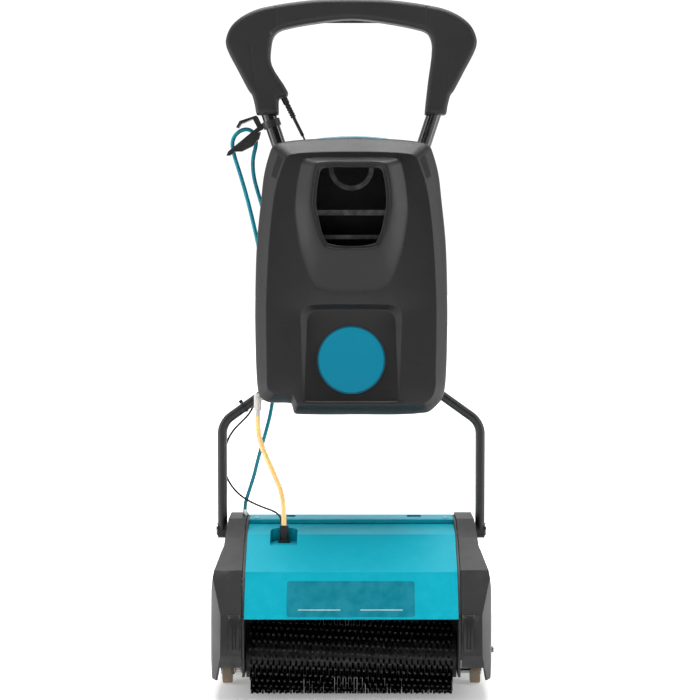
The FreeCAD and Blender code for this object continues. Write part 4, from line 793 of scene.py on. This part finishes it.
def build_tank():
    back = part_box("tank_shell")[1].y / MM
    front = TANK_FACE_Y
    shoulder = front + TANK_SHOULDER
    outer = spline_loop(tank_outline(TANK_RIGHT, TANK_FOOT_LEFT), 6)
    face = spline_loop(tank_outline(FACE_RIGHT, FACE_FOOT_LEFT), 6)
    shape = bmesh.new()
    rings = [ring(shape, inset(outer, depth), y) for depth, y in
             ((5, back), (2.2, back - 0.6), (0.6, back - 2.2), (0, back - 5), (0, -30),
              (0, shoulder + 6))]
    for share, y in ((0.01, shoulder + 2), (0.05, shoulder - 1), (0.12, shoulder - 3.6), (0.5, -83.2),
                     (0.86, -91.6), (0.94, -93.6), (0.985, -94.6)):
        rings.append(ring(shape, between(outer, face, share), y))
    rings.append(ring(shape, inset(face, 2.0), front))
    bridge_all(shape, rings)
    fill(shape, [rings[0]])
    hood = spline_loop(whole(HOOD_HALF), 10)
    band = spline_loop(whole(BAND_HALF), 10)
    window = spline_loop(whole(WINDOW_HALF), 10)
    rise = [ring(shape, between(hood, band, share), front - height) for share, height in
            ((0, 0), (0.05, 0.5), (0.12, 1.8), (0.24, 4.6), (0.5, 11.3), (0.8, 18.6), (0.94, 20.9))]
    for share, height in ((0.0, 21.8), (0.16, HOOD_RISE), (0.3, 21.6), (0.36, 20.9), (0.9, 20.7),
                          (1.0, 19.8)):
        rise.append(ring(shape, between(band, window, share), front - height))
    rise.append(ring(shape, window, WINDOW_BACK_Y))
    bridge_all(shape, rise)
    panel = spline_loop(whole(PANEL_HALF), 8)
    floor = spline_loop(whole(PANEL_FLOOR_HALF), 8)
    sunk = []
    for share, depth in ((0, 0), (0.06, 0.02), (0.14, 0.1), (0.84, 0.9), (0.94, 0.985), (1, 1)):
        def deep(z, depth=depth):
            return front + depth * (PANEL_FOOT_DEPTH + max(z - PANEL_FOOT_Z, 0) * PANEL_SLANT)
        sunk.append(ring(shape, between(panel, floor, share), deep))
    bridge_all(shape, sunk)
    fill(shape, [sunk[-1]])
    fill(shape, [rings[-1], rise[0], sunk[0]])
    room = spline_loop(whole(ROOM_HALF), 8)
    inner = [ring(shape, room, WINDOW_BACK_Y), ring(shape, room, ROOM_BACK_Y)]
    bridge(shape, inner[0], inner[1])
    fill(shape, [inner[0], rise[-1]])
    fill(shape, [inner[1]])
    bmesh.ops.recalc_face_normals(shape, faces=shape.faces)
    line_room(shape)
    tank = finished("tank_shell_shown", shape, "handle", "tank_black", None, ("tank_shell",), angle=40)
    tank.data.materials.append(TANK_INSIDE_SHADE)
    return tank


FILLER_STEPS = 28
FILLER_Z = 888
FILLER_SECTION = [(38, -84), (38, -74), (30, -74), (30, -84)]     # radius and depth
BAFFLES = [(813, 9), (772, 7)]                                    # middle height and thickness
BAFFLE_HALF = 118


def build_tank_fittings():
    """The filler ring and the two baffle ribs behind the window."""
    shape = bmesh.new()
    previous = None
    for index in range(FILLER_STEPS + 1):
        angle = math.pi + math.pi * index / FILLER_STEPS
        verts = []
        for radius, y in FILLER_SECTION:
            verts.append(shape.verts.new((radius * MM * math.cos(angle), y * MM,
                                          (FILLER_Z + radius * math.sin(angle)) * MM)))
        if previous:
            bridge(shape, previous, verts)
        else:
            shape.faces.new(verts)
        previous = verts
    shape.faces.new(list(reversed(previous)))
    for z, thick in BAFFLES:
        low, high = z - thick / 2, z + thick / 2
        section = [(-78, low), (-72, low), (-72, high), (-79, high)]
        ends = [[shape.verts.new((x * MM, y * MM, height * MM)) for y, height in section]
                for x in (-BAFFLE_HALF, BAFFLE_HALF)]
        bridge(shape, ends[0], ends[1])
        shape.faces.new(ends[0])
        shape.faces.new(list(reversed(ends[1])))
    bmesh.ops.recalc_face_normals(shape, faces=shape.faces)
    finished("tank_baffles", shape, "handle", "tank_black",
             textured_plastic("baffle_black", (22, 22, 24), 0.45, 500.0, 0.2))


def build_badge():
    low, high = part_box("tank_badge")
    middle = (low.z + high.z) / 2
    FINISH["badge_teal"] = badge_foil("badge_teal", middle, (high.x - low.x) / 2)
    softened("tank_badge", 0.4)


# ---- Grip ----
GRIP_OUTER = [(0, 1183), (70, 1181), (150, 1169), (184, 1156), (207, 1137), (217, 1113), (214, 1095),
              (196, 1060), (178, 1026), (172, 1018), (167, 1000), (164.5, 986)]
GRIP_INNER_RIGHT = [(162, 984), (129, 984), (127.3, 986), (133, 1040), (140, 1100), (134, 1122),
                    (120, 1130), (60, 1142), (0, 1148)]
GRIP_INNER_LEFT = [(-60, 1142), (-118, 1131), (-132, 1122), (-138, 1105), (-138, 1071), (-110, 1024),
                   (-113, 1014), (-124, 1012), (-126, 1008), (-126, 986), (-128, 984), (-162, 984)]
GRIP_ROUND = 9.0
GRIP_GRID = 2.6              # spacing of the cuts that give the rounded face its shape
GRIP_CUTS = ((0, -220, 220), (2, 980, 1186))        # axis, from, to
SEAM_Y = 38.0
SEAM_STEP = 0.7
BAR_END_X = 131
BAR_LOW_Z = 1120
V_LOW_Z = 1030
V_HIGH_Z = 1112


def line_distance(point, loop):
    """Distance from a point to a closed line, in mm."""
    best = 1e9
    for index, end in enumerate(loop):
        start = loop[index - 1]
        run = end - start
        square = run.length_squared
        share = min(max((point - start).dot(run) / square, 0.0), 1.0) if square else 0.0
        best = min(best, (point - start - run * share).length_squared)
    return math.sqrt(best)


def groove(value, middle, width, depth):
    return depth * math.exp(-((value - middle) / width) ** 2)


def grip_relief(x, z):
    """Creases of the grip: at both ends of the hand bar, and the V lines down the side lobes."""
    cut = 0.0
    if z > BAR_LOW_Z:
        cut += groove(abs(x), BAR_END_X, 1.6, 1.3)
    if V_LOW_Z < z < V_HIGH_Z:
        fade = min(1, (z - V_LOW_Z) / 12, (V_HIGH_Z - z) / 12)
        cut += groove(abs(x), 166 + (z - V_LOW_Z) * 0.12, 1.4, 0.9) * fade
    return cut


def cut_across(shape, faces, axis, place):
    """Cut the faces along a plane, and give back the faces that come of it."""
    point = Vector((0, 0, 0))
    normal = Vector((0, 0, 0))
    point[axis] = place * MM
    normal[axis] = 1
    around = set(face for face in faces if face.is_valid)
    geom = list(around)
    geom += list({edge for face in around for edge in face.edges})
    geom += list({vert for face in around for vert in face.verts})
    cut = bmesh.ops.bisect_plane(shape, geom=geom, plane_co=point, plane_no=normal, dist=1e-6)
    return [item for item in cut["geom"] if isinstance(item, bmesh.types.BMFace)]


def build_grip_shell(name, node, seam_y, face_y):
    """Half of the grip from its seam to its face, whose border rounds over."""
    outline = GRIP_OUTER + GRIP_INNER_RIGHT + GRIP_INNER_LEFT
    outline += [(-x, z) for x, z in reversed(GRIP_OUTER) if x > 0]
    loop = spline_loop(outline, 4)
    way = 1.0 if face_y > seam_y else -1.0
    shape = bmesh.new()
    rings = [ring(shape, inset(loop, SEAM_STEP), seam_y),
             ring(shape, loop, seam_y + way * SEAM_STEP),
             ring(shape, loop, face_y - way * GRIP_ROUND)]
    for angle in (12, 24, 36, 46):
        turned = math.radians(angle)
        rings.append(ring(shape, inset(loop, GRIP_ROUND * (1 - math.cos(turned))),
                          face_y - way * GRIP_ROUND * (1 - math.sin(turned))))
    bridge_all(shape, rings)
    fill(shape, [rings[0]])
    filled = fill(shape, [rings[-1]])["geom"]
    front = [item for item in filled if isinstance(item, bmesh.types.BMFace)]
    for axis, place, stop in GRIP_CUTS:
        while place < stop:
            front = cut_across(shape, front, axis, place)
            place += GRIP_GRID
    moved = {vert for made in front for vert in made.verts} - set(rings[-1])
    for vert in moved:
        x, z = vert.co.x / MM, vert.co.z / MM
        distance = line_distance(Vector((x, z)), loop)
        share = 1 - min(distance / GRIP_ROUND, 1.0)
        drop = GRIP_ROUND * (1 - math.sqrt(max(1 - share * share, 0)))
        relief = grip_relief(x, z) if way < 0 else 0.0
        vert.co.y = (face_y - way * (drop + relief)) * MM
    bmesh.ops.recalc_face_normals(shape, faces=shape.faces)
    return finished(name, shape, "handle", "grip_plastic", None, (node,), angle=50)


# ---- Cover painted shade and lines ----
FACET_FOOT = Vector((0, -184 * MM, 143 * MM))
FACET_CREST = Vector((0, -139 * MM, 214 * MM))
SHADE_SIDES = (-107 * MM, 105 * MM)
SHADE_HEIGHTS = (3.5 * MM, 67 * MM)      # up the facet from its foot
SHADE_CORNER = 4 * MM
LINE_ENDS = ((-88, -18), (15, 85))
LINE_LOW = 15.0
LINE_HIGH = 16.1


def build_cover_shade_and_lines():
    """A darker panel of painted shade on the cover's front facet, with two plain thin lines."""
    foot = FACET_FOOT
    up = (FACET_CREST - foot).normalized()
    out = Vector((0, -up.z, up.y))
    left, right = SHADE_SIDES
    bottom, top = SHADE_HEIGHTS
    corner = SHADE_CORNER
    outline = []
    for x, s, begin in ((right - corner, top - corner, 0), (left + corner, top - corner, 90),
                        (left + corner, bottom + corner, 180), (right - corner, bottom + corner, 270)):
        for step in range(7):
            angle = math.radians(begin + 90 * step / 6)
            outline.append((x + corner * math.cos(angle), s + corner * math.sin(angle)))
    shape = bmesh.new()
    rings = []
    for height in (0.05, 0.4):
        rings.append([shape.verts.new(Vector((x, 0, 0)) + foot + up * s + out * height * MM)
                      for x, s in outline])
    bridge(shape, rings[0], rings[1])
    cap_both(shape, rings[0], rings[1])
    bmesh.ops.recalc_face_normals(shape, faces=shape.faces)
    # The darker film laid over the facet is painted shade.
    finished("cover_painted_shade", shape, "head", "teal_cover",
             glossy_plastic("painted_shade_film", (4, 112, 130), 0.4, 0.0))
    shape = bmesh.new()
    for start, end in LINE_ENDS:
        box = ((start, LINE_LOW), (end, LINE_LOW), (end, LINE_HIGH), (start, LINE_HIGH))
        corners = []
        for height in (0.35, 0.55):
            corners.append([shape.verts.new(Vector((x * MM, 0, 0)) + foot + up * s * MM
                                            + out * height * MM) for x, s in box])
        bridge(shape, corners[0], corners[1])
        cap_both(shape, corners[0], corners[1])
    bmesh.ops.recalc_face_normals(shape, faces=shape.faces)
    finished("cover_label_lines", shape, "head", "teal_cover",
             glossy_plastic("label_ink", (186, 214, 216), 0.4, 0.0))


# ---- Parts that keep their own shape, softened ----
SOFTENED = {
    "front_cover": (0.8, 7.0), "waste_tank": (0.8, 5.0), "waste_tank_lid": (0.9, 2.5),
    "pod_cover_left": (0.9, 7.0), "pod_cover_right": (0.9, 7.0),
    "brush_latch_left": (0.6, 1.5), "brush_latch_right": (0.6, 1.5), "hose_boot": (0.7, 0.0),
    "yoke_arm_left": (0.5, 0.0), "yoke_arm_right": (0.5, 0.0), "mast_bracket": (2.0, 0.0),
    "side_frame_left": (0.4, 0.0), "side_frame_right": (0.4, 0.0), "switch_lever": (0.8, 0.0),
    "safety_button": (0.6, 0.0), "outlet_tap": (0.4, 0.0), "cable_guide_arm": (0.9, 0.0),
    "upper_cable_hook": (0.9, 0.0), "lower_cable_hook": (0.9, 0.0), "cable_tie": (0.3, 0.0),
    "control_cable_boot": (0.4, 0.0), "mains_gland": (0.6, 0.0), "mains_plug": (0.5, 0.0),
    "adjuster_knob": (0.5, 0.0), "lid_screws": (0.3, 0.0), "pivot_pins": (0.5, 0.0),
    "lead_gland": (0.4, 0.0), "mast_tube_left": (0.2, 0.0), "mast_tube_right": (0.2, 0.0),
    "motor_body": (1.0, 0.0), "latch_pins": (0.2, 0.0), "roller_left": (0.3, 0.0),
    "roller_right": (0.3, 0.0), "wheel_left": (0.4, 0.0), "wheel_right": (0.4, 0.0),
}


FLOOR_HALF = 30              # metres


def build_floor():
    shape = bmesh.new()
    corners = [shape.verts.new((x * FLOOR_HALF, y * FLOOR_HALF, 0))
               for x, y in ((-1, -1), (1, -1), (1, 1), (-1, 1))]
    shape.faces.new(corners)
    mesh = bpy.data.meshes.new("floor")
    shape.to_mesh(mesh)
    shape.free()
    floor = bpy.data.objects.new("floor", mesh)
    floor.data.materials.append(floor_paper())
    bpy.context.scene.collection.objects.link(floor)


def main():
    place_camera()
    light_studio()
    build_floor()
    for node, made in frame["nodes"].items():
        slot = SLOT_OF[node]
        if slot in FINISH:
            made.data.materials.clear()
            made.data.materials.append(FINISH[slot])
    shown = {node: softened(node, edge, crease) for node, (edge, crease) in SOFTENED.items()}
    knob = shown["adjuster_knob"].data.materials
    knob.clear()
    knob.append(bare_metal("knob_steel", (96, 86, 76), 0.42))
    build_cords(shown)
    build_brush("front_brush_tufts", "front_brush_bristles", "front_brush", 11)
    build_brush("rear_brush_tufts", "rear_brush_bristles", "rear_brush", 12)
    build_tank()
    build_tank_fittings()
    build_badge()
    build_grip_shell("grip_front_shown", "grip_front_shell", SEAM_Y, 19.0)
    build_grip_shell("grip_rear_shown", "grip_rear_shell", SEAM_Y, 57.0)
    build_cover_shade_and_lines()


main()
